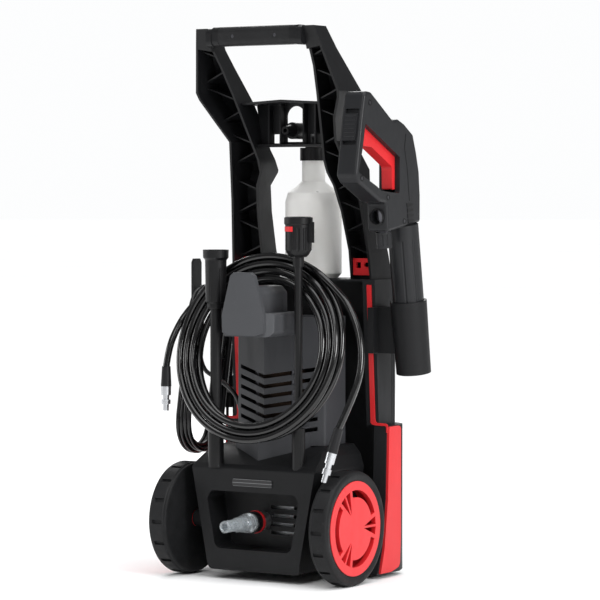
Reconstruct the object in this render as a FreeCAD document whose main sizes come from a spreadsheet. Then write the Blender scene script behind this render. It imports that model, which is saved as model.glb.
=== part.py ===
"""Upright electric pressure washer with gun, two lances, detergent bottle, hose and mains lead.

Every sub-part is drawn with Y measured from the wheel axle. Its placement then moves it by axle_y, so
that the origin of the part is on the floor below the middle of the machine.
+X is the side that carries the gun, -Y is the rear with the wheels, +Z is up, in millimetres.
"""
import FreeCAD, Part
import math
import os
import Sketcher

VEC = FreeCAD.Vector
doc = FreeCAD.newDocument("PressureWasher")
sheet = doc.addObject("Spreadsheet::Sheet", "Dims")

DIMENSIONS = {
    "axle_y": -52.0,
    "wall": 3.0,
    "fit_gap": 0.5,
    "wheel_radius": 86.5,
    "wheel_inner_x": 128.0,
    "wheel_width": 32.7,
    "hub_radius": 71.3,
    "axle_radius": 6.0,
    "running_gap": 0.05,
    "shell_half": 133.0,
    "skirt_half": 146.5,
    "trim_thick": 4.0,
    "skirt_top": 232.0,
    "deck_top": 456.0,
    "shell_front": 191.0,
    "corner_round": 42.0,
    "lip_width": 22.0,
    "base_rear": -38.0,
    "base_top_half": 111.0,
    "base_foot_half": 82.0,
    "base_top": 204.0,
    "base_floor": 14.0,
    "recess_back": 8.0,
    "cover_half": 80.0,
    "cover_crease": -6.0,
    "cover_side_rear": 42.0,
    "cover_top": 400.0,
    "louvre_pitch": 15.2,
    "louvre_height": 6.0,
    "motor_y": 60.0,
    "stator_radius": 46.0,
    "rotor_radius": 25.0,
    "shaft_radius": 6.0,
    "handle_top": 840.0,
    "bar_height": 30.0,
    "bar_rear": -37.0,
    "arm_skin": 4.0,
    "brace_low": 659.0,
    "brace_high": 727.0,
    "brace_rear": 40.0,
    "brace_front": 88.0,
    "bottle_y": 135.0,
    "bottle_radius": 44.0,
    "neck_radius": 18.0,
    "nozzle_z": 684.0,
    "nozzle_radius": 13.0,
    "gun_x": 185.0,
    "gun_axis_y": 112.0,
    "gun_axis_z": 424.0,
    "gun_lean": 8.5,
    "gun_half": 18.0,
    "barrel_radius": 23.6,
    "lance_x": 75.0,
    "spray_lance_y": -26.0,
    "spray_tube_radius": 6.0,
    "turbo_lance_x": -70.0,
    "turbo_lance_y": -33.0,
    "turbo_tube_radius": 8.5,
    "holder_floor": 170.0,
    "holder_top": 235.0,
    "hook_half": 47.0,
    "hook_rear": -60.0,
    "inlet_x": -10.0,
    "inlet_z": 88.0,
    "hose_radius": 5.25,
    "coil_outer": 156.0,
    "coil_inner": 106.0,
    "coil_depth": 22.0,
    "coil_x": 8.0,
    "coil_z": 350.0,
    "coil_tilt": 14.0,
    "cord_radius": 3.4,
    "hank_x": -178.0,
    "hank_thick": 28.0,
}


class Dim(float):
    """A number that remembers the spreadsheet expression it was worked out from."""

    def __new__(cls, value, text):
        dim = float.__new__(cls, value)
        dim.text = text
        return dim

    def __add__(self, other):
        return combine(self, "+", other, float(self) + float(other))

    def __radd__(self, other):
        return combine(other, "+", self, float(other) + float(self))

    def __sub__(self, other):
        return combine(self, "-", other, float(self) - float(other))

    def __rsub__(self, other):
        return combine(other, "-", self, float(other) - float(self))

    def __mul__(self, other):
        return combine(self, "*", other, float(self) * float(other))

    def __rmul__(self, other):
        return combine(other, "*", self, float(other) * float(self))

    def __truediv__(self, other):
        return combine(self, "/", other, float(self) / float(other))

    def __neg__(self):
        return combine(0.0, "-", self, -float(self))


def text_of(value):
    """The expression text of a Dim or of a plain number."""
    return value.text if isinstance(value, Dim) else "%.6g" % value


def combine(left, sign, right, value):
    """A Dim that joins two values by an arithmetic sign."""
    return Dim(value, "(%s %s (%s))" % (text_of(left), sign, text_of(right)))


def fill_sheet():
    """Write the driving dimensions as plain numbers and give back a Dim for each alias."""
    dims = {}
    for row, (name, value) in enumerate(DIMENSIONS.items(), start=1):
        sheet.set("A%d" % row, name)
        sheet.set("B%d" % row, str(value))
        sheet.setAlias("B%d" % row, name)
        dims[name] = Dim(value, "Dims." + name)
    doc.recompute()
    return dims


D = fill_sheet()
WALL = D["wall"]
AXLE_Y = D["axle_y"]
FIT = D["fit_gap"]
BASES = {}
NODES = []
counter = [0]


def fresh(label):
    """A document name that no other helper object has."""
    counter[0] += 1
    return "%s_%d" % (label, counter[0])


def bind(obj, prop, value):
    """Set a property to a number, or bind it to the sheet when the value is a Dim."""
    setattr(obj, prop, float(value))
    if isinstance(value, Dim):
        obj.setExpression(prop, value.text)


def place(obj, base, rotation=None):
    """Place an object, with each coordinate that comes from the sheet bound to it."""
    rotation = rotation or FreeCAD.Rotation()
    obj.Placement = FreeCAD.Placement(VEC(*[float(v) for v in base]), rotation)
    for axis, value in zip("xyz", base):
        if isinstance(value, Dim):
            obj.setExpression("Placement.Base." + axis, value.text)
    BASES[obj.Name] = (base, rotation)
    return obj


def node(label, obj):
    """Name a finished sub-part and move it from axle coordinates into the frame of the part."""
    base, rotation = BASES.get(obj.Name, ((0.0, 0.0, 0.0), None))
    place(obj, (base[0], base[1] + AXLE_Y, base[2]), rotation)
    obj.Label = label
    NODES.append(obj)
    return obj


def box(label, x0, x1, y0, y1, z0, z1):
    """A box between two corners."""
    obj = doc.addObject("Part::Box", fresh(label))
    bind(obj, "Length", x1 - x0)
    bind(obj, "Width", y1 - y0)
    bind(obj, "Height", z1 - z0)
    return place(obj, (x0, y0, z0))


TURNS = {
    "X": FreeCAD.Rotation(VEC(0, 1, 0), 90),
    "Y": FreeCAD.Rotation(VEC(1, 0, 0), -90),
    "-Y": FreeCAD.Rotation(VEC(1, 0, 0), 90),
    "Z": FreeCAD.Rotation(),
}


def cylinder(label, axis, start, radius, length, angle=360.0):
    """A cylinder that starts at a point and runs along an axis."""
    obj = doc.addObject("Part::Cylinder", fresh(label))
    bind(obj, "Radius", radius)
    bind(obj, "Height", length)
    obj.Angle = angle
    turn = TURNS[axis] if isinstance(axis, str) else axis
    return place(obj, start, turn)


def cone(label, axis, start, radius_start, radius_end, length):
    """A cone that starts at a point and runs along an axis."""
    obj = doc.addObject("Part::Cone", fresh(label))
    bind(obj, "Radius1", radius_start)
    bind(obj, "Radius2", radius_end)
    bind(obj, "Height", length)
    turn = TURNS[axis] if isinstance(axis, str) else axis
    return place(obj, start, turn)


def join(label, pieces):
    """One solid from several that touch or overlap."""
    obj = doc.addObject("Part::MultiFuse", fresh(label))
    obj.Shapes = pieces
    obj.Refine = True
    return obj


def group(label, pieces):
    """Separate solids kept together as one sub-part."""
    obj = doc.addObject("Part::Compound", fresh(label))
    obj.Links = pieces
    return obj


def cut(label, base, tools):
    """A solid less one or more tools."""
    tool = tools[0] if len(tools) == 1 else group(label + "_tools", tools)
    obj = doc.addObject("Part::Cut", fresh(label))
    obj.Base = base
    obj.Tool = tool
    return obj


def common(label, first, second):
    """The part of space that two solids share."""
    obj = doc.addObject("Part::Common", fresh(label))
    obj.Base = first
    obj.Tool = second
    return obj


def plane_of(body, role):
    """One of a body's own origin planes."""
    return [f for f in body.Origin.OriginFeatures if f.Role == role][0]


def outline(body, plane, points, offset):
    """A closed sketch of straight lines, its corners tied to the sheet's sizes."""
    sketch = body.newObject("Sketcher::SketchObject", fresh("sketch"))
    sketch.AttachmentSupport = (plane_of(body, plane), [""])
    sketch.MapMode = "FlatFace"
    sketch.AttachmentOffset = FreeCAD.Placement(VEC(0, 0, float(offset)), FreeCAD.Rotation())
    if isinstance(offset, Dim):
        sketch.setExpression("AttachmentOffset.Base.z", offset.text)
    corners = [VEC(float(a), float(b), 0) for a, b in points]
    count = len(corners)
    for i in range(count):
        sketch.addGeometry(Part.LineSegment(corners[i], corners[(i + 1) % count]), False)
    for i in range(count):
        sketch.addConstraint(Sketcher.Constraint("Coincident", i, 2, (i + 1) % count, 1))
    for i, (across, along) in enumerate(points):
        for kind, value in (("DistanceX", across), ("DistanceY", along)):
            index = sketch.addConstraint(Sketcher.Constraint(kind, -1, 1, i, 1, float(value)))
            if isinstance(value, Dim):
                sketch.setExpression("Constraints[%d]" % index, value.text)
    return sketch


def corner_edges(shape, plane, corners):
    """Names of the edges that run along the plane's normal through the given corners."""
    keep = {"XY_Plane": (0, 1), "XZ_Plane": (0, 2), "YZ_Plane": (1, 2)}[plane]
    names = []
    for index, edge in enumerate(shape.Edges, start=1):
        ends = [vertex.Point for vertex in edge.Vertexes]
        for across, along in corners:
            target = (float(across), float(along))
            gaps = [abs(end[axis] - want) for end in ends for axis, want in zip(keep, target)]
            if len(ends) == 2 and max(gaps) < 1e-4:
                names.append("Edge%d" % index)
    return names


def prism(label, plane, points, start, length, rounds=()):
    """A PartDesign body: an outline padded from start by length, with some of its corners rounded.

    The pad runs along +Z for XY_Plane, +Y for XZ_Plane and +X for YZ_Plane.
    rounds holds pairs of a radius and the indexes of the corners that get it.
    """
    body = doc.addObject("PartDesign::Body", fresh(label))
    flipped = plane == "XZ_Plane"
    sketch = outline(body, plane, points, -start if flipped else start)
    pad = body.newObject("PartDesign::Pad", fresh("pad"))
    pad.Profile = sketch
    pad.Reversed = flipped
    bind(pad, "Length", length)
    sketch.Visibility = False
    for radius, indexes in rounds:
        doc.recompute()
        names = corner_edges(body.Shape, plane, [points[i] for i in indexes])
        last = body.Tip
        fillet = body.newObject("PartDesign::Fillet", fresh("fillet"))
        fillet.Base = (last, names)
        bind(fillet, "Radius", radius)
    return body


def round_rims(body, reach, radius):
    """Round the edges of a YZ_Plane prism that lie in its two end faces, at x = -reach and x = reach."""
    doc.recompute()
    names = ["Edge%d" % index for index, edge in enumerate(body.Shape.Edges, start=1)
             if all(abs(abs(vertex.Point.x) - reach) < 1e-4 for vertex in edge.Vertexes)]
    last = body.Tip
    fillet = body.newObject("PartDesign::Fillet", fresh("rim_fillet"))
    fillet.Base = (last, names)
    bind(fillet, "Radius", radius)
    return body


def turned(label, profile, axis, base):
    """A PartDesign body: a profile of (radius, height) corners turned about its own Z axis."""
    body = doc.addObject("PartDesign::Body", fresh(label))
    sketch = outline(body, "XZ_Plane", profile, 0.0)
    turn = body.newObject("PartDesign::Revolution", fresh("turn"))
    turn.Profile = sketch
    turn.ReferenceAxis = (sketch, ["V_Axis"])
    turn.Angle = 360.0
    sketch.Visibility = False
    rotation = TURNS[axis] if isinstance(axis, str) else axis
    return place(body, base, rotation)


def mirrored_x(points):
    """The outline on the other side of the middle plane."""
    return [(-x, along) for x, along in points]


# ------------------------------------------------------------------ wheels

def wheel(side, name):
    """Tyre and hub of one wheel; side is +1 for +X and -1 for -X."""
    axis = FreeCAD.Rotation(VEC(0, 1, 0), 90 * side)
    inner = (D["wheel_inner_x"] * side, 0.0, D["wheel_radius"])
    width = D["wheel_width"]
    radius = D["wheel_radius"]
    rim = D["hub_radius"]
    web = 4.0
    boss_radius = 13.0
    tyre_profile = [
        (boss_radius + 0.2, 0.0), (radius - 6, 0.0), (radius - 2, 2.0), (radius - 2, 5.0),
        (radius, 6.5), (radius, width - 5), (radius - 1.6, width - 1.6), (radius - 6, width),
        (rim, width - 1.5), (rim, web), (boss_radius + 0.2, web),
    ]
    tread = turned(name + "_tyre", tyre_profile, axis, inner)
    notches = []
    lug_count = 16
    for k in range(lug_count):
        turn = FreeCAD.Rotation(VEC(1, 0, 0), 360.0 / lug_count * k)
        notch = doc.addObject("Part::Box", fresh("notch"))
        bind(notch, "Length", width - 15)
        notch.Width = 6.0
        notch.Height = 10.0
        corner = turn.multVec(VEC(0, -3.0, float(radius) - 3.2))
        place(notch, (inner[0] + side * 6.5 - (width - 15) * (side < 0), corner.y,
                      radius + corner.z), turn)
        notches.append(notch)
    node(name + "_tyre", cut(name + "_tyre", tread, notches))

    plate_back = width - 9
    boss_back = FIT
    barrel = cut("rim", cylinder("rim", axis, (inner[0] + side * web, 0.0, radius), rim,
                                 width - 0.7 - web),
                 [cylinder("rim_bore", axis, inner, rim - 6, plate_back)])
    boss = cylinder("boss", axis, (inner[0] + side * boss_back, 0.0, radius), boss_radius, width - 4)
    blank = join("hub_blank", [barrel, boss])
    tools = [cylinder("bore", axis, inner, D["axle_radius"] + D["running_gap"], width - 5)]
    slot_in, slot_out = 47.0, 58.0
    through = 15.0
    back = inner[0] + plate_back - 2.0 if side > 0 else inner[0] - plate_back - through + 2.0
    for k in range(3):
        middle = 120.0 * k
        turn = FreeCAD.Rotation(VEC(1, 0, 0), middle)
        lead_in = 20.0
        sector = FreeCAD.Rotation(VEC(1, 0, 0), middle + lead_in + 90).multiply(TURNS["X"])
        outer = cylinder("slot_outer", sector, (back, 0.0, radius), slot_out, through,
                         120.0 - 2 * lead_in)
        core = cylinder("slot_core", "X", (back, 0.0, radius), slot_in, through)
        tools.append(cut("slot", outer, [core]))
        for hand in (-1, 1):
            window = wedge([(24.0, 3.6 * hand), (slot_out, 14.0 * hand), (slot_out, 1.8 * hand)], through)
            tools.append(place(window, (back, 0.0, radius), turn))
    node(name + "_hub", cut(name + "_hub", blank, tools))


def wedge(polar_corners, depth):
    """A tool along X whose corners are given as a radius and an angle in degrees from +Y."""
    corners = [(far * math.cos(math.radians(angle)), far * math.sin(math.radians(angle)))
               for far, angle in polar_corners]
    return prism("wedge", "YZ_Plane", corners, 0.0, depth)


def wheel_axles():
    """Stub axle of each wheel, pressed into the boss of the base."""
    root = 86.5
    stubs = []
    for side in (-1, 1):
        axis = FreeCAD.Rotation(VEC(0, 1, 0), 90 * side)
        length = D["wheel_inner_x"] + D["wheel_width"] - 7 - root
        stubs.append(cylinder("stub", axis, (root * side, 0.0, D["wheel_radius"]), D["axle_radius"],
                              length))
    node("wheel_axles", group("wheel_axles", stubs))


# ------------------------------------------------------------------ shell and trims

def skirt_rear(shift=0.0):
    """Rear edge of the shell's lower half from floor to step, as side-view points."""
    return [(84.0 + shift, 6.0), (98.0 + shift, 45.0), (108.0 + shift, 120.0),
            (112.0 + shift, D["skirt_top"])]


def front_shell():
    """The big front casing, open at the rear, with a rim along its rear edges."""
    front = D["shell_front"]
    step = D["skirt_top"]
    deck = D["deck_top"]
    skirt_side = skirt_rear() + [(front, step), (front, 45.0), (front - 12, 10.0), (front - 40, 6.0)]
    tower_side = [(112.0, step - 4), (99.0, deck), (front - 5, deck), (front, step), (front, step - 4)]

    def cup(name, side_points, half, low, high, inset):
        """A solid with the given side view and a plan with rounded front corners."""
        edge = half - inset
        plan_points = [(-edge, 20.0), (edge, 20.0), (edge, front - inset), (-edge, front - inset)]
        plan = prism(name + "_plan", "XY_Plane", plan_points, low, high - low,
                     [(D["corner_round"] - inset, (2, 3))])
        side = prism(name + "_side", "YZ_Plane", side_points, -edge, edge * 2)
        return common(name, side, plan)

    skirt_inside = [(60.0, 6.0 + WALL), (60.0, step - WALL), (front - WALL, step - WALL),
                    (front - WALL, 46.0), (front - 13 - WALL, 10.0 + WALL), (front - 41, 6.0 + WALL)]
    tower_inside = [(60.0, 200.0), (60.0, deck - WALL), (front - 5 - WALL, deck - WALL),
                    (front - WALL, step), (front - WALL, 200.0)]
    outside = join("shell_outside", [
        cup("skirt", skirt_side, D["skirt_half"], 0.0, step, 0.0),
        cup("tower", tower_side, D["shell_half"], step - 4, deck, 0.0)])
    inside = [cup("skirt_room", skirt_inside, D["skirt_half"], 0.0, step, WALL),
              cup("tower_room", tower_inside, D["shell_half"], 200.0, deck, WALL)]
    hollow = cut("shell_hollow", outside, [join("shell_room", inside)])

    rims = []
    lip = D["lip_width"]
    tower_lip = [(112.0, step), (99.0, deck), (108.0, deck), (121.0, step)]
    skirt_lip = skirt_rear() + list(reversed(skirt_rear(9.0)))
    for side in (-1, 1):
        low = D["shell_half"] - lip if side > 0 else -D["shell_half"]
        rims.append(prism("tower_lip", "YZ_Plane", tower_lip, low, lip))
        low = D["skirt_half"] - lip if side > 0 else -D["skirt_half"]
        rims.append(prism("skirt_lip", "YZ_Plane", skirt_lip, low, lip))
    full = join("shell_full", [hollow] + rims)
    holes = [cylinder("outlet_hole", "Y", (0.0, front - 12, 110.0), 21.0, 20.0),
             cylinder("knob_hole", "Y", (0.0, front - 14, 380.0), 7.0, 20.0)]
    groove = [(111.0, step + 6), (98.9, deck - 8), (102.0, deck - 8), (114.1, step + 6)]
    for side in (-1, 1):
        low = D["shell_half"] - 14 if side > 0 else -(D["shell_half"] - 6)
        holes.append(prism("stripe_groove", "YZ_Plane", groove, low, 8.0))
    node("front_shell", cut("front_shell", full, holes))


def side_trims():
    """Red trims of both sides: a stripe let into the rim and a skin on the side of the skirt."""
    pieces = []
    for side in (-1, 1):
        pieces += side_trim(side)
    node("side_trims", group("side_trims", pieces))


def side_trim(side):
    """The stripe and the skin of one side."""
    step = D["skirt_top"]
    stripe = [(110.2, step + 6), (98.0, D["deck_top"] - 8), (102.0, D["deck_top"] - 8),
              (114.1, step + 6)]
    low = D["shell_half"] - 14 if side > 0 else -(D["shell_half"] - 6)
    upper = prism("stripe", "YZ_Plane", stripe, low, 8.0)
    skin = [(89.0, 8.0), (100.0, 45.0), (110.0, 120.0), (114.0, step - 1), (149.0, step - 1),
            (149.0, 60.0), (146.0, 14.0), (120.0, 8.0)]
    inner = D["skirt_half"] if side > 0 else -D["skirt_half"] - D["trim_thick"]
    panel = prism("skin", "YZ_Plane", skin, inner, D["trim_thick"], [(10.0, (5, 6)), (6.0, (4,))])
    return [upper, panel]


def front_feet():
    """Two rubber feet under the front corners of the shell."""
    feet = []
    for side in (-1, 1):
        middle = 95.0 * side
        feet.append(prism("foot", "XY_Plane",
                          [(middle - 22, 128.0), (middle + 22, 128.0), (middle + 22, 150.0),
                           (middle - 22, 150.0)], 0.0, 6.0, [(5.0, (0, 1, 2, 3))]))
    node("front_feet", group("front_feet", feet))


# ------------------------------------------------------------------ base between the wheels

def recess_outline(grow):
    """Front view of the rear recess, grown outwards by a wall where needed."""
    return [(-68.0 - grow, 47.0 - grow), (68.0 + grow, 47.0 - grow), (83.0 + grow, 122.0),
            (76.0 + grow, 135.0 + grow), (-76.0 - grow, 135.0 + grow), (-83.0 - grow, 122.0)]


def base_housing():
    """The pump housing between the wheels, with the recess for the water inlet."""
    rear = D["base_rear"]
    top = D["base_top"]
    floor = D["base_floor"]
    half = D["base_top_half"]
    foot = D["base_foot_half"]

    def hull(name, inset):
        front_view = [(-foot + inset, floor + inset), (foot - inset, floor + inset),
                      (foot + 3 - inset, 34.0), (half - inset, 170.0), (half - 6 - inset, 190.0),
                      (half - 18 - inset, top - inset), (-half + 18 + inset, top - inset),
                      (-half + 6 + inset, 190.0), (-half + inset, 170.0), (-foot - 3 + inset, 34.0)]
        side_view = [(rear + 3 + inset, floor + inset), (rear + inset, 30.0), (rear + inset, 170.0),
                     (rear + 6 + inset, 176.0), (2.0, 197.0 - inset), (40.0, top - inset),
                     (104.0 - inset, top - inset), (104.0 - inset, floor + inset)]
        along = prism(name + "_front", "XZ_Plane", front_view, rear - 2, 150.0,
                      [(9.0, (3, 4, 7, 8)), (8.0, (0, 1))])
        across = prism(name + "_side", "YZ_Plane", side_view, -half - 2, half * 2 + 4,
                       [(5.0, (2,))])
        return common(name, along, across)

    rounds = [(9.0, (2, 3, 4, 5)), (12.0, (0, 1))]
    liner = prism("liner", "XZ_Plane", recess_outline(3.0), rear - 2, D["recess_back"] + WALL - rear + 2,
                  rounds)
    room = cut("room", hull("inside", WALL), [liner])
    bosses = []
    bores = []
    for side in (-1, 1):
        axis = FreeCAD.Rotation(VEC(0, 1, 0), 90 * side)
        start = (86.0 * side, 0.0, D["wheel_radius"])
        bosses.append(cylinder("axle_boss", axis, start, 13.0, 41.5))
        bores.append(cylinder("axle_bore", axis, (86.5 * side, 0.0, D["wheel_radius"]),
                              D["axle_radius"], 60.0))
    walls = cut("walls", hull("outside", 0.0), [room])
    tools = [prism("recess", "XZ_Plane", recess_outline(0.0), rear - 5, D["recess_back"] - rear + 5,
                   rounds)]
    for k in range(4):
        low = 68.0 + k * 13
        tools.append(box("vent", 4.0, 50.0, 0.0, 20.0, low, low + 5))
    tools.append(cylinder("inlet_hole", "Y", (D["inlet_x"], 0.0, D["inlet_z"]), 12.0, 20.0))
    tools.append(cylinder("spray_seat", "Z", (D["lance_x"], D["spray_lance_y"], D["holder_floor"]),
                          D["spray_tube_radius"] + 4, 60.0))
    tools.append(cylinder("turbo_seat", "Z",
                          (D["turbo_lance_x"], D["turbo_lance_y"], D["holder_floor"]),
                          D["turbo_tube_radius"] + 3.5, 60.0))
    tools.append(cylinder("shaft_pass", "Z", (0.0, D["motor_y"], 190.0), 34.0, 30.0))
    tools.append(cylinder("lead_pass", "Z", (-92.0, 72.0, 190.0), 7.0, 30.0))
    tools.append(cylinder("outlet_pass", "Y", (0.0, 95.0, 110.0), 8.5, 20.0))
    tools += bores
    node("base_housing", cut("base_housing", join("base_walls", [walls] + bosses), tools))
    plate = prism("rating_plate", "XZ_Plane", [(-35.5, 144.0), (35.5, 144.0), (35.5, 154.6), (-35.5, 154.6)],
                  rear - 1.6, 1.6, [(2.0, (0, 1, 2, 3))])
    node("rating_plate", plate)


def water_inlet():
    """Garden-hose inlet on the pump's stub: red ring, knurled collar, clear stepped tail and filter."""
    x, z = D["inlet_x"], D["inlet_z"]
    back = D["recess_back"]

    def ring(name, start, length, outer, bore):
        shell = cylinder(name, "-Y", (x, start, z), outer, length)
        return cut(name, shell, [cylinder(name + "_bore", "-Y", (x, start + 1, z), bore, length + 2)])

    node("inlet_red_ring", ring("inlet_red_ring", back - 20, 5.0, 17.2, 7.0))
    knurls = []
    knurl_count = 18
    for k in range(knurl_count):
        angle = math.radians(360.0 / knurl_count * k)
        knurls.append(cylinder("knurl", "-Y", (x + 17.6 * math.cos(angle), back - 26,
                                               z + 17.6 * math.sin(angle)), 1.6, 16.0))
    collar = ring("collar", back - 25, 11.4, 16.6, 7.0)
    node("inlet_collar", cut("inlet_collar", collar, knurls))
    tail_profile = [(5.5, 0.0), (14.6, 0.0), (15.0, 2.0), (15.0, 12.0), (12.8, 16.0), (12.8, 23.0),
                    (11.4, 25.0), (11.4, 37.0), (9.2, 44.6), (9.2, 70.6), (5.5, 70.6)]
    node("inlet_tail", turned("inlet_tail", tail_profile, "-Y", (x, back - 36.4, z)))
    strainer = cylinder("strainer", "-Y", (x, back + 10, z), 5.2, 52.0)
    hollow = cylinder("strainer_bore", "-Y", (x, back + 12, z), 4.2, 50.0)
    node("inlet_filter", cut("inlet_filter", strainer, [hollow]))


# ------------------------------------------------------------------ motor cover and hook

def cover_plan(inset):
    """Plan of the motor cover: two rear facets that meet in a crease."""
    half = D["cover_half"] - inset
    return [(-half, D["cover_side_rear"] + inset * 0.6), (0.0, D["cover_crease"] + inset * 1.16),
            (half, D["cover_side_rear"] + inset * 0.6), (half, 100.0), (-half, 100.0)]


def motor_cover():
    """Dark cover over the motor, with V-shaped louvres in both rear facets."""
    base = D["base_top"]
    top = D["cover_top"]
    outside = prism("cover", "XY_Plane", cover_plan(0.0), base, top - base, [(6.0, (0, 2))])
    inside = prism("cover_room", "XY_Plane", cover_plan(WALL)[:3] + [
        (D["cover_half"] - WALL, 104.0), (-D["cover_half"] + WALL, 104.0)], base - 5, top - base + 5 - WALL)
    foot_half = 60.0
    foot = prism("foot_block", "XY_Plane", [(-foot_half, 6.0), (0.0, -22.0), (foot_half, 6.0),
                                            (foot_half, 50.0), (-foot_half, 50.0)], 150.0, 84.0)
    base_slope = [(-30.0, 140.0), (-32.0, 176.0), (2.0, 197.0), (40.0, base), (60.0, base), (60.0, 140.0)]
    under = prism("base_clear", "YZ_Plane", base_slope, -80.0, 160.0)
    outside = join("cover_blank", [outside, cut("cover_foot", foot, [under])])
    tools = [inside]
    for k in range(7):
        low = 306.0 - k * D["louvre_pitch"]
        high = low + D["louvre_height"]
        band = [(-70.0, low + 12), (0.0, low), (70.0, low + 12), (70.0, high + 12), (0.0, high),
                (-70.0, high + 12)]
        tools.append(prism("louvre", "XZ_Plane", band, -20.0, 62.0))
    node("motor_cover", cut("motor_cover", outside, tools))


def hose_hook():
    """Hook for the hose: a shelf block, a neck to lay the turns on and a ridged end plate."""
    half = D["hook_half"]
    rear = D["hook_rear"]
    top = D["cover_top"]
    shelf_plan = [(-half, rear + 12), (-half + 12, rear), (half - 12, rear), (half, rear + 12),
                  (half, 28.0), (-half, 28.0)]
    shelf_block = prism("shelf", "XY_Plane", shelf_plan, top - 28, 36.0, [(8.0, (0, 1, 2, 3))])
    shelf_view = [(-half, top - 28), (half, top - 28), (half, top + 8), (-half, top + 8)]
    shelf = common("shelf_shape", shelf_block,
                   prism("shelf_view", "XZ_Plane", shelf_view, rear - 5, 100.0,
                         [(12.0, (0, 1)), (5.0, (2, 3))]))
    clear_cover = prism("clear_cover", "XY_Plane", cover_plan(0.0), top - 60, 60.0, [(6.0, (0, 2))])
    neck_view = [(-24.0, top + 4), (24.0, top + 4), (24.0, top + 38), (14.0, top + 48),
                 (-14.0, top + 48), (-24.0, top + 38)]
    neck = prism("neck", "XZ_Plane", neck_view, rear, 82.0, [(9.0, (2, 3, 4, 5))])
    plate_view = [(-37.0, top - 22), (-24.0, top - 26), (24.0, top - 26), (37.0, top - 22),
                  (38.0, top + 4), (21.0, top + 64), (14.0, top + 69), (-14.0, top + 69),
                  (-21.0, top + 64), (-38.0, top + 4)]
    ridge_plan = [(-50.0, rear - 3), (-4.0, rear - 9), (50.0, rear - 3), (50.0, rear + 2),
                  (-50.0, rear + 2)]
    plate = common("end_plate", prism("plate_view", "XZ_Plane", plate_view, rear - 12, 20.0),
                   prism("plate_ridge", "XY_Plane", ridge_plan, top - 40, 120.0))
    body = join("hook_blank", [shelf, neck, plate])
    node("hose_hook", cut("hose_hook", body, [clear_cover]))


# ------------------------------------------------------------------ frame

ARM_OUTER = [(86.0, 838.0), (106.0, 838.0), (112.0, 815.0), (129.5, 742.0), (127.0, 731.0),
             (111.0, 701.0), (98.0, 667.0), (118.5, 577.0), (125.4, 500.0), (128.0, 456.0)]
ARM_INNER = [(78.0, 456.0), (79.0, 500.0), (75.0, 560.0), (68.4, 600.0), (59.0, 620.0),
             (58.2, 640.0), (61.7, 660.0), (68.4, 700.0), (75.0, 740.0), (82.0, 780.0), (86.0, 808.0)]
OUTER_REAR = [(-33.0, 838.0), (-24.7, 815.0), (-12.6, 780.0), (1.0, 740.0), (20.0, 701.0),
              (45.0, 667.0), (81.6, 577.0), (94.0, 500.0), (99.0, 456.0)]
INNER_REAR = [(-33.0, 838.0), (-20.6, 815.0), (2.9, 780.0), (23.6, 740.0), (41.9, 700.0),
              (60.2, 660.0), (77.8, 620.0), (82.0, 600.0), (94.0, 560.0), (104.7, 520.0),
              (110.0, 500.0), (118.0, 456.0)]
ARM_FRONT = [(160.0, 456.0), (152.0, 494.0), (128.0, 570.0), (118.0, 600.0), (125.5, 624.0),
             (106.0, 655.0), (89.5, 702.0), (76.0, 728.0), (19.0, 806.0), (2.0, 838.0)]


def shifted(points, across, along=0.0):
    """The same outline moved sideways."""
    return [(a + across, b + along) for a, b in points]


def frame_arm(side, name):
    """One upright of the handle frame: a channel open to the rear with zigzag ribs inside."""
    skin = D["arm_skin"]

    def slab(label, view, start, length):
        """Front-view outline padded through the depth of the arm, on the wanted side."""
        points = view if side > 0 else mirrored_x(view)
        return prism(label, "XZ_Plane", points, start, length)

    def profile(label, view):
        """Side-view outline padded across the width of the arm."""
        low = 50.0 if side > 0 else -140.0
        return prism(label, "YZ_Plane", view, low, 90.0)

    solid_view = ARM_OUTER + ARM_INNER
    outer_wall_view = ARM_OUTER[1:] + list(reversed(shifted(ARM_OUTER[1:], -skin)))
    inner_wall_view = ARM_INNER + list(reversed(shifted(ARM_INNER, skin)))
    outer_wall = common("outer_wall", slab("outer_strip", outer_wall_view, -45.0, 210.0),
                        profile("outer_depth", OUTER_REAR + ARM_FRONT))
    inner_wall = common("inner_wall", slab("inner_strip", inner_wall_view, -45.0, 210.0),
                        profile("inner_depth", INNER_REAR + ARM_FRONT))
    web_depth = shifted(ARM_FRONT, -skin)
    web = common("web", slab("web_view", solid_view, -45.0, 210.0),
                 profile("web_depth", list(reversed(web_depth)) + ARM_FRONT))
    ribs = []
    levels = [(502.0, -1), (536.0, 1), (568.0, -1), (602.0, 1), (640.0, -1), (676.0, 1),
              (706.0, -1), (738.0, 1), (770.0, -1), (798.0, 1)]
    rib_rear = [(y + 5, z) for y, z in INNER_REAR]
    rib_profile = rib_rear + ARM_FRONT
    half_rib = 1.2
    rise = 15.0
    rib_views = []
    for level, lean in levels:
        low, high = level - rise * lean, level + rise * lean
        rib_views.append([(56.0, low - half_rib), (132.0, high - half_rib), (132.0, high + half_rib),
                          (56.0, low + half_rib)])
    arm_room = slab("arm_room", solid_view, -45.0, 210.0)
    for view in rib_views:
        ribs.append(slab("rib", view, -45.0, 210.0))
    grid = common("rib_grid", join("rib_lines", ribs), arm_room)
    rib_set = common("rib_set", grid, profile("rib_depth", rib_profile))
    cap_view = [(86.0, 803.5), (112.5, 808.0), (106.0, 838.0), (86.0, 838.0)]
    cap = common("arm_cap", slab("cap_view", cap_view, -45.0, 210.0),
                 profile("cap_depth", OUTER_REAR + ARM_FRONT))
    foot_view = [(78.0, 456.0), (128.0, 456.0), (127.6, 462.0), (78.2, 462.0)]
    foot = common("arm_foot", slab("foot_view", foot_view, -45.0, 210.0),
                  profile("foot_depth", rib_profile))
    node(name + "_frame_arm", join(name + "_frame_arm",
                                   [outer_wall, inner_wall, web, rib_set, cap, foot]))


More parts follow.
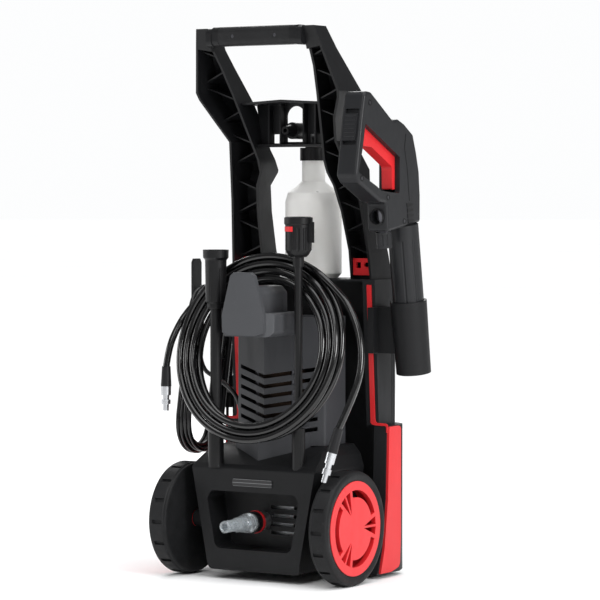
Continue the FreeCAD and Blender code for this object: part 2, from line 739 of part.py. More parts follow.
def arm_clips():
    """Red clips that lock the frame arms to the deck, seen in the open rear of each channel."""
    node("arm_clips", group("arm_clips", [arm_clip(-1), arm_clip(1)]))


def arm_clip(side):
    """One red clip: a slotted frame and the stem behind it."""
    low, high = (83.0, 119.0) if side > 0 else (-119.0, -83.0)
    middle = 101.0 * side
    frame = box("clip", low, high, 117.5, 121.5, 462.0, 488.0)
    stem = box("clip_stem", middle - 9, middle + 9, 121.5, 136.0, 462.0, 470.0)
    windows = [cylinder("clip_hole", "Y", (middle + 6 * side, 110.0, 478.0), 4.0, 20.0),
               box("clip_slot", middle - 12, middle - 4, 110.0, 124.0, 473.0, 482.0)]
    return cut("arm_clip", join("clip_blank", [frame, stem]), windows)


def handle():
    """Top cross bar of the frame with its two collars, and the grip shell between them."""
    high = D["handle_top"]
    low = high - D["bar_height"]
    rear = D["bar_rear"]
    section = [(rear + 4, low + 4), (rear + 31, low + 4), (rear + 31, high - 4), (rear + 4, high - 4)]
    core = prism("bar_core", "YZ_Plane", section, -84.0, 168.0, [(7.0, (0, 1, 2, 3))])
    ends = []
    for start in (-86.0, 76.0):
        outer = [(rear, low), (rear + 36, low), (rear + 36, high - 2), (rear, high - 2)]
        ends.append(prism("bar_end", "YZ_Plane", outer, start, 10.0, [(9.0, (0, 1, 2, 3))]))
    grip_section = [(rear + 1, low + 1), (rear + 34, low + 1), (rear + 34, high), (rear + 1, high)]
    sleeve = prism("grip", "YZ_Plane", grip_section, -64.0, 128.0, [(10.0, (0, 1, 2, 3))])
    bore = prism("grip_bore", "YZ_Plane", section, -70.0, 140.0, [(7.0, (0, 1, 2, 3))])
    screws = [cylinder("screw_hole", "Y", (38.0 * side, rear - 2, low + 15), 3.0, 8.0)
              for side in (-1, 1)]
    node("handle_grip", cut("handle_grip", sleeve, [bore] + screws))
    collars = [prism("collar", "YZ_Plane", grip_section, start, 12.0, [(9.0, (0, 1, 2, 3))])
               for start in (-76.0, 64.0)]
    node("handle_bar", join("handle_bar", [core] + ends + collars))
    heads = [cylinder("grip_screw", "Y", (38.0 * side, rear + 1.6, low + 15), 2.9, 2.4)
             for side in (-1, 1)]
    node("grip_screws", group("grip_screws", heads))


def cross_brace():
    """Tray-shaped brace between the arms, open to the rear, with a keyhole for the bottle's nozzle."""
    low, high = D["brace_low"], D["brace_high"]
    rear, front = D["brace_rear"], D["brace_front"]
    skin = D["arm_skin"]
    top_half, foot_half = 72.8, 61.5
    view = [(-foot_half, low), (foot_half, low), (top_half, high), (0.0, high + 4), (-top_half, high)]
    room_view = [(-foot_half - 2, low + skin), (foot_half + 2, low + skin),
                 (top_half, high - skin), (0.0, high + 4 - skin), (-top_half, high - skin)]
    body = prism("brace", "XZ_Plane", view, rear, front - rear)
    slope = prism("brace_slope", "YZ_Plane", [(rear - 2, high + 10), (rear - 2, low - 2), (74.0, low - 2),
                                              (62.0, low + 6), (rear + 2, high - 4)], -90.0, 180.0)
    room = prism("brace_room", "XZ_Plane", room_view, rear - 2, front - rear + 2 - skin)
    hole_radius = 17.0
    tools = [slope, room,
             cylinder("keyhole", "Y", (0.0, rear - 5, high - 22), hole_radius, 70.0),
             box("keyhole_slot", -hole_radius, hole_radius, rear - 5, front + 10, D["nozzle_z"] - 17,
                 high - 22)]
    for side in (-1, 1):
        x0 = 27.0 if side > 0 else -50.0
        tools.append(box("brace_window", x0, x0 + 23, front - 10, front + 5, low + 6, low + 20))
    shell = cut("brace_shell", body, tools)
    webs = []
    for x in (-44.0, -22.5, 19.5, 41.0):
        webs.append(box("brace_rib", x, x + 3, 72.0, front - 1, low + 1, high - 1))
    node("cross_brace", join("cross_brace", [shell] + webs))


# ------------------------------------------------------------------ bottle

def detergent_bottle():
    """Hollow plastic bottle, its screw collar and the foam nozzle on top."""
    deck = D["deck_top"]
    outer = D["bottle_radius"]
    neck = D["neck_radius"]
    skin = 1.6
    low = deck + 0.5
    profile = [(0.0, low), (outer - 6, low), (outer, low + 7), (outer, low + 118), (outer - 4, low + 132),
               (neck + 6, low + 144), (neck, low + 150), (neck, low + 182), (neck - skin, low + 182),
               (neck - skin, low + 149), (neck + 5, low + 142), (outer - 5 - skin, low + 130),
               (outer - skin, low + 117), (outer - skin, low + 8), (outer - 7, low + skin),
               (0.0, low + skin)]
    node("detergent_bottle", turned("bottle", profile, "Z", (0.0, D["bottle_y"], 0.0)))
    y = D["bottle_y"]
    cap_low = low + 182
    cap = cylinder("cap", "Z", (0.0, y, cap_low), neck + 3, 20.0)
    grips = []
    for k in range(16):
        angle = math.radians(22.5 * k)
        grips.append(cylinder("cap_grip", "Z", (21.8 * math.cos(angle), y + 21.8 * math.sin(angle), cap_low + 2),
                              1.4, 16.0))
    node("bottle_cap", cut("bottle_cap", cap, grips))
    z = D["nozzle_z"]
    radius = D["nozzle_radius"]
    stem_low = cap_low + 20
    stem = cylinder("stem", "Z", (0.0, y, stem_low), radius, z - stem_low + 6)
    barrel = cylinder("nozzle", "-Y", (0.0, y + 14, z), radius, 76.0)
    tip = cone("nozzle_tip", "-Y", (0.0, y - 62, z), radius - 3, 6.2, 20.0)
    bore = cylinder("nozzle_bore", "-Y", (0.0, y - 60, z), 3.4, 30.0)
    node("foam_nozzle", cut("foam_nozzle", join("nozzle_blank", [stem, barrel, tip]), [bore]))


# ------------------------------------------------------------------ gun and its holder

GUN_TURN = FreeCAD.Rotation(VEC(1, 0, 0), DIMENSIONS["gun_lean"])
GUN_BASE = (D["gun_x"], D["gun_axis_y"], D["gun_axis_z"])
GUN_OUTLINE = [(-108.0, 334.0), (-122.0, 300.0), (-151.0, 214.0), (-143.0, 202.0), (-89.0, 166.0),
               (-71.0, 161.0), (-75.0, 118.0), (24.0, 118.0), (30.0, 158.0), (32.0, 194.0),
               (28.0, 224.0), (22.0, 252.0), (-1.0, 271.0), (-17.0, 280.0), (-34.0, 281.0),
               (-90.0, 330.0)]
LOOP_OUTLINE = [(-114.0, 286.0), (-24.0, 224.0), (-32.0, 170.0), (-84.0, 182.0), (-95.0, 190.0),
                (-144.0, 218.0), (-128.0, 250.0)]
TRIGGER_OUTLINE = [(-104.0, 287.0), (-116.0, 254.0), (-88.0, 248.0), (-34.0, 211.0), (-38.2, 177.0),
                   (-10.0, 174.0), (-3.0, 222.0), (-14.0, 242.0), (-24.0, 243.0)]
TRIGGER_POCKET = [(-109.0, 282.0), (-101.0, 300.0), (-12.0, 247.5), (2.0, 222.0), (-5.0, 168.0),
                  (-36.0, 168.0), (-60.0, 235.0)]
TRIGGER_PIVOT = (-19.0, 238.0)


def on_gun(obj):
    """Carry a piece drawn in the gun's own frame to the holder, leaning with it."""
    return place(obj, GUN_BASE, GUN_TURN)


def gun():
    """Trigger gun: body, fore-grip barrel, trigger with its trunnions, lock slide, valve, inlet nut."""
    half = D["gun_half"]
    blank = prism("gun_blank", "YZ_Plane", GUN_OUTLINE, -half, half * 2,
                  [(10.0, (0, 2, 15)), (6.0, (3, 11, 13))])
    round_rims(blank, float(half), 5.0)
    loop = prism("gun_loop", "YZ_Plane", LOOP_OUTLINE, -half - 2, half * 2 + 4, [(4.0, (2, 5, 6))])
    lever_half = 9.0
    pocket = prism("trigger_room", "YZ_Plane", TRIGGER_POCKET, -lever_half - 0.6, lever_half * 2 + 1.2)
    slide_room = prism("slide_room", "YZ_Plane", [(-121.0, 310.0), (-139.0, 259.0), (-131.6, 256.4),
                                                  (-113.6, 307.4)], -11.6, 23.2)
    valve_room = cylinder("valve_room", "Z", (0.0, -56.0, 110.0), 10.0, 46.0)
    port = cylinder("port", "Y", (0.0, -80.0, 141.0), 10.5, 22.0)
    trunnion = 2.5
    pin_hole = cylinder("pin_hole", "X", (-half + 0.6, TRIGGER_PIVOT[0], TRIGGER_PIVOT[1]),
                        trunnion + D["running_gap"], half * 2 - 1.2)
    barrel_seat = cylinder("barrel_seat", "Z", (0.0, 0.0, 80.0), 16.0, 60.0)
    body = cut("gun_body", blank, [loop, pocket, slide_room, valve_room, port, pin_hole, barrel_seat])
    node("gun_body", on_gun(body))

    radius = D["barrel_radius"]
    shroud = cylinder("shroud", "Z", (0.0, 0.0, -88.0), radius, 205.8)
    spigot = cylinder("spigot", "Z", (0.0, 0.0, 110.0), 16.0, 28.0)
    flutes = []
    for k in range(8):
        angle = math.radians(45.0 * k + 22.5)
        flutes.append(cylinder("flute", "Z", ((radius + 1.2) * math.cos(angle), (radius + 1.2) * math.sin(angle),
                                              -95.0), 2.4, 190.0))
    bore = cylinder("muzzle", "Z", (0.0, 0.0, -90.0), 9.0, 60.0)
    node("gun_barrel", on_gun(cut("gun_barrel", join("barrel_blank", [shroud, spigot]), flutes + [bore])))

    lever = prism("lever", "YZ_Plane", TRIGGER_OUTLINE, -lever_half, lever_half * 2,
                  [(3.0, (0, 1)), (8.0, (2, 3)), (2.0, (4, 5)), (5.0, (7,))])
    pin = cylinder("pin", "X", (-half + 1, TRIGGER_PIVOT[0], TRIGGER_PIVOT[1]), trunnion, half * 2 - 2)
    node("gun_trigger", on_gun(join("gun_trigger", [lever, pin])))

    slide = prism("slide", "YZ_Plane", [(-123.6, 302.5), (-137.0, 264.5), (-130.2, 262.2), (-116.8, 300.2)],
                  -11.0, 22.0)
    bars = []
    for k in range(6):
        across = -124.6 - 2.0 * k
        along = 299.0 - 5.8 * k
        bars.append(cylinder("slide_rib", "X", (-9.0, across, along), 1.1, 18.0))
    node("gun_lock_slide", on_gun(join("gun_lock_slide", [slide] + bars)))

    valve = cylinder("valve", "Z", (0.0, -56.0, 116.0), 10.0, 40.0)
    node("gun_valve", on_gun(group("gun_valve", [valve])))
    nut = cylinder("nut", "Z", (0.0, -58.0, 92.0), 12.0, 24.0)
    waist = cylinder("nut_waist", "Z", (0.0, -56.0, 114.0), 9.0, 2.0)
    nut_flutes = []
    for k in range(10):
        angle = math.radians(36.0 * k)
        nut_flutes.append(cylinder("nut_flute", "Z", (12.6 * math.cos(angle), -58 + 12.6 * math.sin(angle), 96.0),
                                   1.8, 17.0))
    nut_bore = cylinder("nut_bore", "Z", (0.0, -58.0, 90.0), 5.5, 18.0)
    node("gun_inlet_nut", on_gun(cut("gun_inlet_nut", join("nut_blank", [nut, waist]), nut_flutes + [nut_bore])))


def gun_holder():
    """Cup that takes the muzzle end of the gun, on a bracket clamped round the shell's rim."""
    outer_top, outer_foot = 28.0, 26.6
    cup = on_gun(cone("cup", "Z", (0.0, 0.0, 0.0), outer_foot, outer_top, 112.0))
    lift = GUN_TURN.multVec(VEC(0, 0, -111.0))
    place(cup, (D["gun_x"], D["gun_axis_y"] + lift.y, D["gun_axis_z"] + lift.z), GUN_TURN)
    bracket = prism("bracket", "XY_Plane", [(D["shell_half"], 102.0), (D["gun_x"] - 20, 104.0),
                                            (D["gun_x"] - 20, 138.0), (D["shell_half"], 138.0)],
                    344.0, 70.0)
    jaw = box("jaw", D["shell_half"] - 6, D["shell_half"] + 4, 88.0, 104.0, 344.0, 414.0)
    rim_clear = prism("rim_clear", "YZ_Plane", [(115.0, 180.0), (99.0, 456.0), (190.0, 456.0),
                                                (190.0, 180.0)], 80.0, D["shell_half"] - 80)
    drop = GUN_TURN.multVec(VEC(0, 0, -88.3))
    bore = cylinder("cup_bore", GUN_TURN, (D["gun_x"], D["gun_axis_y"] + drop.y, D["gun_axis_z"] + drop.z),
                    D["barrel_radius"] + FIT, 130.0)
    through = GUN_TURN.multVec(VEC(0, 0, -130.0))
    drain = cylinder("cup_drain", GUN_TURN, (D["gun_x"], D["gun_axis_y"] + through.y,
                                             D["gun_axis_z"] + through.z), 15.0, 60.0)
    blank = join("holder_blank", [cup, bracket, jaw])
    node("gun_holder", cut("gun_holder", blank, [rim_clear, bore, drain]))


def cable_hook():
    """Hook on the left side of the shell for the mains lead."""
    outer = D["gun_x"] + 28
    half = D["shell_half"]
    arm = box("hook_arm", -outer + 5, -half, 112.0, 126.0, 414.0, 426.0)
    root = box("hook_root", -half - 4, -half, 106.0, 134.0, 396.0, 440.0)
    tip = prism("hook_tip", "YZ_Plane", [(108.0, 412.0), (130.0, 412.0), (130.0, 478.0), (126.0, 484.0),
                                         (112.0, 484.0), (108.0, 478.0)], -outer, 5.0,
                [(3.0, (0, 1))])
    node("cable_hook", join("cable_hook", [arm, root, tip]))


# ------------------------------------------------------------------ lances

def lance_holder(x, y, radius, wall):
    """Sleeve in the base that a lance stands in."""
    low, high = D["holder_floor"], D["holder_top"]
    outer = cylinder("lance_holder", "Z", (x, y, low), radius + wall, high - low)
    bore = cylinder("holder_bore", "Z", (x, y, low + 4), radius + FIT, high - low)
    return cut("lance_holder", outer, [bore])


def lances():
    """Spray lance with its adjustable head and turbo lance with its rotor nozzle."""
    x, y, radius = D["lance_x"], D["spray_lance_y"], D["spray_tube_radius"]
    floor = D["holder_floor"] + 4.5
    sleeves = [lance_holder(x, y, radius, 4.0)]
    tube = cylinder("spray_tube", "Z", (x, y, floor), radius, 492.0 - floor)
    neck = cylinder("spray_neck", "Z", (x, y, 478.0), 8.5, 14.0)
    bore = cylinder("spray_bore", "Z", (x, y, floor - 1), 3.0, 320.0)
    node("spray_lance", cut("spray_lance", join("spray_blank", [tube, neck]), [bore]))
    head_profile = [(0.0, 0.0), (12.0, 0.0), (16.0, 4.0), (20.0, 11.0), (20.0, 48.0), (21.5, 50.0),
                    (21.5, 59.0), (18.0, 60.5), (18.0, 50.0), (7.0, 44.0), (0.0, 44.0)]
    knob = turned("spray_head", head_profile, "Z", (x, y, 492.3))
    flutes = []
    for k in range(12):
        angle = math.radians(30.0 * k)
        flutes.append(cylinder("head_flute", "Z", (x + 21.6 * math.cos(angle), y + 21.6 * math.sin(angle), 500.0),
                               3.2, 36.0))
    tab = box("head_tab", x + 16, x + 25.5, y - 4, y + 4, 514.0, 545.0)
    fluted = cut("fluted", knob, flutes)
    node("spray_head", join("spray_head", [fluted, tab]))

    x, y, radius = D["turbo_lance_x"], D["turbo_lance_y"], D["turbo_tube_radius"]
    sleeves.append(lance_holder(x, y, radius, 3.5))
    node("lance_holders", group("lance_holders", sleeves))
    tube = cylinder("turbo_tube", "Z", (x, y, floor), radius, 412.0 - floor)
    bore = cylinder("turbo_bore", "Z", (x, y, floor - 1), 4.0, 240.0)
    node("turbo_lance", cut("turbo_lance", tube, [bore]))
    cup_profile = [(0.0, 0.0), (11.5, 0.0), (13.0, 2.0), (13.0, 8.0), (15.5, 11.0), (16.5, 74.0),
                   (19.5, 78.0), (19.8, 90.0), (17.4, 90.0), (15.5, 76.0), (6.0, 60.0), (0.0, 60.0)]
    shell = turned("turbo_head", cup_profile, "Z", (x, y, 412.0))
    slots = []
    for k in range(6):
        angle = math.radians(60.0 * k + 30)
        slots.append(cylinder("cup_flute", "Z", (x + 17.2 * math.cos(angle), y + 17.2 * math.sin(angle), 424.0),
                              2.0, 50.0))
    node("turbo_head", cut("turbo_head", shell, slots))


# ------------------------------------------------------------------ drive inside

def drive():
    """Motor, fan, bearings, wobble plate and pump, on a vertical axis behind the motor cover."""
    y = D["motor_y"]
    stator = D["stator_radius"]
    rotor = D["rotor_radius"]
    shaft = D["shaft_radius"]
    stack_low, stack_high = 240.0, 318.0

    def disc(name, low, high, radius, bore=None):
        solid = cylinder(name, "Z", (0.0, y, low), radius, high - low)
        if bore is None:
            return solid
        return cut(name, solid, [cylinder(name + "_bore", "Z", (0.0, y, low - 1), bore, high - low + 2)])

    node("motor_stator", disc("motor_stator", stack_low, stack_high, stator, rotor + 1.0))
    frame = [disc("frame_low", 214.0, 222.0, stator + 6, 13.0),
             disc("frame_high", 332.0, 338.0, stator + 4, 11.0)]
    for k in range(4):
        angle = math.radians(90.0 * k + 45)
        frame.append(cylinder("frame_post", "Z", (stator * math.cos(angle),
                                                  y + stator * math.sin(angle), 221.0), 4.0, 112.0))
    frame_solid = cut("motor_frame", join("frame_blank", frame),
                      [disc("stack_clear", stack_low, stack_high, stator)])
    node("motor_frame", frame_solid)
    armature = [disc("stack", stack_low + 4, stack_high - 4, rotor), disc("shaft", 196.0, 366.0, shaft),
                disc("commutator", stack_high - 4, 330.0, 15.0)]
    node("motor_rotor", join("motor_rotor", armature))
    gap = D["running_gap"]
    node("motor_bearings", group("motor_bearings", [
        disc("lower_bearing", 214.0, 222.0, 13.0, shaft + gap),
        disc("upper_bearing", 332.0, 338.0, 11.0, shaft + gap)]))
    fan = [disc("fan_hub", 346.0, 362.0, 12.0, shaft),
           disc("fan_disc", 346.0, 348.5, 42.0, shaft)]
    for k in range(9):
        blade = box("blade", 11.0, 40.0, -1.2, 1.2, 348.0, 361.0)
        turn = FreeCAD.Rotation(VEC(0, 0, 1), 40.0 * k)
        foot = turn.multVec(VEC(11.0, -1.2, 0.0))
        frame_base = (foot.x, y + foot.y, 348.0)
        fan.append(place(blade, frame_base, turn))
    node("cooling_fan", join("cooling_fan", fan))
    wobble = cylinder("wobble", "Z", (0.0, y, 178.0), 30.0, 18.0)
    slant = box("wobble_slant", -40.0, 40.0, -40.0, 40.0, 0.0, 30.0)
    tilt = FreeCAD.Rotation(VEC(1, 0, 0), 7.0)
    corner = tilt.multVec(VEC(-40.0, -40.0, -30.0))
    place(slant, (corner.x, y + corner.y, 183.0 + corner.z), tilt)
    node("wobble_plate", cut("wobble_plate", wobble, [slant]))
    block = box("pump_block", -36.0, 36.0, y - 38, y + 38, 60.0, 150.0)
    x, z, back = D["inlet_x"], D["inlet_z"], D["recess_back"]
    stub = cylinder("inlet_stub", "-Y", (x, y - 37, z), 12.0, y - 37 - back + 3)
    flange = cylinder("inlet_flange", "-Y", (x, back, z), 14.5, 20.0)
    seat = disc("gearbox", 149.0, 158.0, 38.0, 32.0)
    wall = disc("gearbox_wall", 158.0, 214.0, 33.9, 32.0)
    ports = [cylinder("outlet_port", "Y", (0.0, y + 30, 110.0), 8.0, 30.0),
             cylinder("inlet_port", "-Y", (x, y - 20, z), 7.0, 60.0)]
    barrels = []
    for k in range(3):
        angle = math.radians(120.0 * k + 90)
        px, py = 19.0 * math.cos(angle), y + 19.0 * math.sin(angle)
        ports.append(cylinder("piston_bore", "Z", (px, py, 120.0), 6.0, 40.0))
        barrels.append(cylinder("piston", "Z", (px, py, 122.0), 6.0 - D["running_gap"], 52.0))
    whole = join("pump_blank", [block, stub, flange, seat, wall])
    node("pump_head", cut("pump_head", whole, ports))
    node("pump_pistons", group("pump_pistons", barrels))
    switch = box("switch_box", -28.0, 28.0, 138.0, 172.0, 352.0, 408.0)
    node("switch_box", cut("switch_box", switch, [cylinder("spindle_hole", "Y", (0.0, 160.0, 380.0), 4.1, 20.0)]))


def front_fittings():
    """Rotary switch knob and high-pressure outlet on the front of the shell."""
    front = D["shell_front"]
    knob_profile = [(0.0, 0.0), (4.0, 0.0), (4.0, 22.0), (26.0, 22.0), (26.0, 26.0), (22.0, 39.0), (0.0, 40.0)]
    body = turned("knob", knob_profile, "Y", (0.0, front - 24.4, 380.0))
    bar = box("knob_bar", -4.0, 4.0, front + 12, front + 19, 362.0, 398.0)
    node("power_knob", join("power_knob", [body, bar]))
    outer = cylinder("outlet", "Y", (0.0, front - 20, 110.0), 20.5, 31.0)
    pipe = cylinder("outlet_pipe", "Y", (0.0, D["motor_y"] + 30, 110.0), 8.0, front - 49 - D["motor_y"])
    bore = cylinder("outlet_bore", "Y", (0.0, front - 14, 110.0), 8.2, 40.0)
    node("pressure_outlet", cut("pressure_outlet", join("outlet_blank", [outer, pipe]), [bore]))


# ------------------------------------------------------------------ hose and mains lead

def route(points):
    """Wire of straight runs joined by tangent arcs; prints the smallest bend radius."""
    pts = [VEC(*p) for p in points]
    edges = []
    radii = []
    last = pts[0]
    for before, here, after in zip(pts, pts[1:], pts[2:]):
        first, second = (before - here), (after - here)
        shorter = min(first.Length, second.Length)
        turn = math.pi - first.getAngle(second)
        trim = 0.45 * shorter
        radius = trim / math.tan(turn / 2)
        radii.append(radius)
        first.normalize()
        second.normalize()
        start = here + first * trim
        end = here + second * trim
        bisector = (first + second).normalize()
        centre = here + bisector * math.hypot(radius, trim)
        middle = centre - bisector * radius
        edges.append(Part.LineSegment(last, start).toShape())
        edges.append(Part.Arc(start, middle, end).toShape())
        last = end
    edges.append(Part.LineSegment(last, pts[-1]).toShape())
    wire = Part.Wire(edges)
    return wire, radii


def tube(label, points, radius):
    """Solid round tube along a route, drawn by Part's own pipe."""
    wire, radii = route(points)
    start = VEC(*points[0])
    direction = VEC(*points[1]) - start
    disc = Part.Face(Part.Wire(Part.makeCircle(float(radius), start, direction)))
    solid = wire.makePipeShell([disc.OuterWire], True, False)
    expected = math.pi * float(radius) ** 2 * wire.Length
    print("%s: length %.0f, volume %.3f of section x length, bend radii %s diameters" % (
        label, wire.Length, solid.Volume / expected,
        ", ".join("%.1f" % (r / float(radius) / 2) for r in radii)))
    obj = doc.addObject("Part::Feature", fresh(label))
    obj.Shape = solid
    return node(label, obj)


HOSE_GUN_ROUTE = [(118.0, -3.0, 452.0), (150.0, -6.0, 424.0), (175.0, -12.0, 380.0), (184.0, -22.0, 330.0),
                  (176.0, -35.0, 284.0), (160.0, -48.0, 240.0)]
HOSE_OUTLET_ROUTE = [(-134.0, -20.0, 402.0), (-147.0, -30.0, 376.0), (-153.0, -40.0, 348.0),
                     (-154.0, -45.0, 322.0)]
LEAD_ROUTE = [(-92.0, 72.0, 232.0), (-94.0, 70.0, 262.0), (-110.0, 64.0, 286.0), (-136.0, 62.0, 300.0),
              (-166.0, 60.0, 312.0)]
PLUG_ROUTE = [(-178.0, 154.0, 372.0), (-177.0, 166.0, 350.0), (-177.0, 170.0, 322.0),
              (-178.0, 168.0, 296.0)]


def along(start, end):
    """Rotation that takes +Z onto the line from one point to another, and its length."""
    line = VEC(*end) - VEC(*start)
    return FreeCAD.Rotation(VEC(0, 0, 1), line), line.Length


def hose():
    """High-pressure hose: the hanging coil, two free ends, their sleeves and plugs."""
    tilt = FreeCAD.Rotation(VEC(1, 0, 0), -DIMENSIONS["coil_tilt"])
    facing = tilt.multiply(TURNS["Y"])
    half = D["coil_depth"] / 2
    inner, outer = D["coil_inner"], D["coil_outer"]
    profile = [(inner, -half + 5), (inner + 7, -half), (outer - 7, -half), (outer, -half + 5),
               (outer, half - 5), (outer - 7, half), (inner + 7, half), (inner, half - 5)]
    ring = turned("coil_ring", profile, facing, (D["coil_x"], -28.0, D["coil_z"]))
    x, y = D["turbo_lance_x"], D["turbo_lance_y"]
    grooves = [cylinder("lance_groove", "Z", (x, y, 180.0), D["turbo_tube_radius"] + 1, 220.0),
               cylinder("cup_groove", "Z", (x, y, 400.0), 21.0, 120.0)]
    node("hose_coil", cut("hose_coil", ring, grooves))
    radius = D["hose_radius"]
    tube("hose_gun_end", HOSE_GUN_ROUTE, radius)
    tube("hose_outlet_end", HOSE_OUTLET_ROUTE, radius)
    sleeves = []
    plugs = []
    for points, far in ((HOSE_GUN_ROUTE, (141.0, -60.0, 160.0)),
                        (HOSE_OUTLET_ROUTE, (-154.0, -46.0, 254.0))):
        start = points[-1]
        turn, length = along(start, far)
        share = 0.45 * length
        foot = VEC(*start) + turn.multVec(VEC(0, 0, share))
        sleeves.append(cone("sleeve", turn, start, 6.6, 8.2, share))
        plug = [cylinder("ferrule", turn, (foot.x, foot.y, foot.z), 7.6, length * 0.2)]
        for reach, size, end in ((0.65, 5.0, 0.75), (0.75, 7.0, 0.85), (0.85, 4.4, 1.0)):
            at = VEC(*start) + turn.multVec(VEC(0, 0, length * reach))
            plug.append(cylinder("plug_step", turn, (at.x, at.y, at.z), size, length * (end - reach)))
        at = VEC(*start) + turn.multVec(VEC(0, 0, length * 0.7))
        bore = cylinder("plug_bore", turn, (at.x, at.y, at.z), 2.5, length * 0.4)
        plugs.append(cut("hose_plug", join("hose_plug_blank", plug), [bore]))
    node("hose_plugs", group("hose_plugs", plugs))
    node("hose_sleeves", group("hose_sleeves", sleeves))


def mains_lead():
    """Mains lead: gland in the base, the run to the hook, the hank and the plug."""
    gland_profile = [(0.0, 200.0), (7.0, 200.0), (7.0, 204.0), (9.5, 204.0), (9.5, 208.0), (6.5, 210.0),
                     (4.6, 232.0), (0.0, 232.0)]
    node("lead_gland", turned("lead_gland", gland_profile, "Z", (-92.0, 72.0, 0.0)))
    tube("lead_run", LEAD_ROUTE, D["cord_radius"])
    tube("lead_tail", PLUG_ROUTE, D["cord_radius"])
    thick = D["hank_thick"]
    band, half_wide, reach = 20.0, 50.0, 256.0
    ring = [(-half_wide, -reach + 34), (-half_wide + 22, -reach), (half_wide - 22, -reach),
            (half_wide, -reach + 34), (half_wide, -8.0), (half_wide - 24, 20.0), (-half_wide + 24, 20.0),
            (-half_wide, -8.0)]
    slot = [(-half_wide + band, -reach + 40), (-half_wide + band + 10, -reach + band),
            (half_wide - band - 10, -reach + band), (half_wide - band, -reach + 40),
            (half_wide - band, -10.0), (half_wide - band - 12, 0.0), (-half_wide + band + 12, 0.0),
            (-half_wide + band, -10.0)]
    body = prism("hank", "YZ_Plane", ring, -thick / 2, thick, [(14.0, (0, 1, 2, 3, 4, 5, 6, 7))])
    hole = prism("hank_slot", "YZ_Plane", slot, -thick, thick * 2, [(6.0, (0, 1, 2, 3))])
    hank = cut("lead_hank", body, [hole])
    place(hank, (D["hank_x"], 119.0, 427.0), FreeCAD.Rotation(VEC(1, 0, 0), -11.0))
    node("lead_hank", hank)
    start = PLUG_ROUTE[-1]
    profile = [(0.0, 0.0), (4.6, 0.0), (6.0, 18.0), (17.0, 26.0), (19.0, 32.0), (19.0, 50.0), (0.0, 50.0)]
    down = FreeCAD.Rotation(VEC(1, 0, 0), 180)
    body = turned("plug", profile, down, start)
    pins = [cylinder("pin", down, (start[0], start[1] + 9.5 * side, start[2] - 49), 2.4, 20.0)
            for side in (-1, 1)]
    node("mains_plug", join("mains_plug", [body] + pins))


# ------------------------------------------------------------------ build, check and write

wheel(-1, "left")
wheel(1, "right")
front_shell()
wheel_axles()
side_trims()
front_feet()
base_housing()
water_inlet()
motor_cover()
hose_hook()
frame_arm(-1, "left")
frame_arm(1, "right")
arm_clips()
handle()
cross_brace()
detergent_bottle()
gun()
gun_holder()
cable_hook()
lances()
drive()
front_fittings()
hose()
mains_lead()
doc.recompute()

problems = []
for obj in doc.Objects:
    if "Invalid" in obj.State or "Error" in obj.State:
        problems.append("%s is %s" % (obj.Label, obj.State))
for obj in NODES:
    if obj.Shape.isNull() or not obj.Shape.isValid() or not obj.Shape.Solids:
        problems.append("%s has no valid solid" % obj.Label)
if problems:
    raise RuntimeError("; ".join(problems))

os.makedirs("parts", exist_ok=True)
for obj in NODES:
    obj.Shape.exportStep("parts/%s.step" % obj.Label)
print("%d sub-parts written" % len(NODES))
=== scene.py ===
"""Visual model of the upright pressure washer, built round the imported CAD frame.

Lengths in this file are in millimetres where a name or a route comes from the design, and are
turned into metres by the helpers. +X is the gun's side, -Y is the rear with the wheels, +Z is up.
"""
import bmesh
import bpy
import math
from mathutils import Euler, Matrix, Vector


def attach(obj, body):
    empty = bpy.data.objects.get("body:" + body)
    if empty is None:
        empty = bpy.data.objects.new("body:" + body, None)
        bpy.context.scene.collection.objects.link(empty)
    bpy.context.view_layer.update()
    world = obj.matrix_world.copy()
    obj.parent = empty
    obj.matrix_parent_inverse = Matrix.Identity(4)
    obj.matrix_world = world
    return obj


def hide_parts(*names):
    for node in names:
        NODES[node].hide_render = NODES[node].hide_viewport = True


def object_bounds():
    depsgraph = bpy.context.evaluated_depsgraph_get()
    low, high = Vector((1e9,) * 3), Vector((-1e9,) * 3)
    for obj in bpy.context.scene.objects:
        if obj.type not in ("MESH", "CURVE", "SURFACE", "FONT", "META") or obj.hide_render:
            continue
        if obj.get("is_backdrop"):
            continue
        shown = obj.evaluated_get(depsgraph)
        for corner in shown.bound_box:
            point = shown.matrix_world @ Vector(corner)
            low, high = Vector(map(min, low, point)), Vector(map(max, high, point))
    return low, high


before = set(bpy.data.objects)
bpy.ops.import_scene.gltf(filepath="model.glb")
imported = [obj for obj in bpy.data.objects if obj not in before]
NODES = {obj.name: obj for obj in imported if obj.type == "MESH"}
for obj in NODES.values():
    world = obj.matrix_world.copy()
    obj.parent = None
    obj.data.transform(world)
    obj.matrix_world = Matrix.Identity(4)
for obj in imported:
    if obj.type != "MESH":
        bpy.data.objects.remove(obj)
cad_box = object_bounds()
AXLE_Y = -52.0


def metres(point):
    """A design point, with Y measured from the wheel axle, in metres in the frame of the part."""
    return Vector((point[0] / 1000, (point[1] + AXLE_Y) / 1000, point[2] / 1000))


# ------------------------------------------------------------------ camera, floor and light

CAMERA_LENS = 175.07
CAMERA_SPOT = (2.4297, -3.7610, 0.5883)
CAMERA_AIM = (0.04343, -0.02427, 0.42562)
FLOOR_RADIUS = 60.0
FLOOR_SIDES = 64


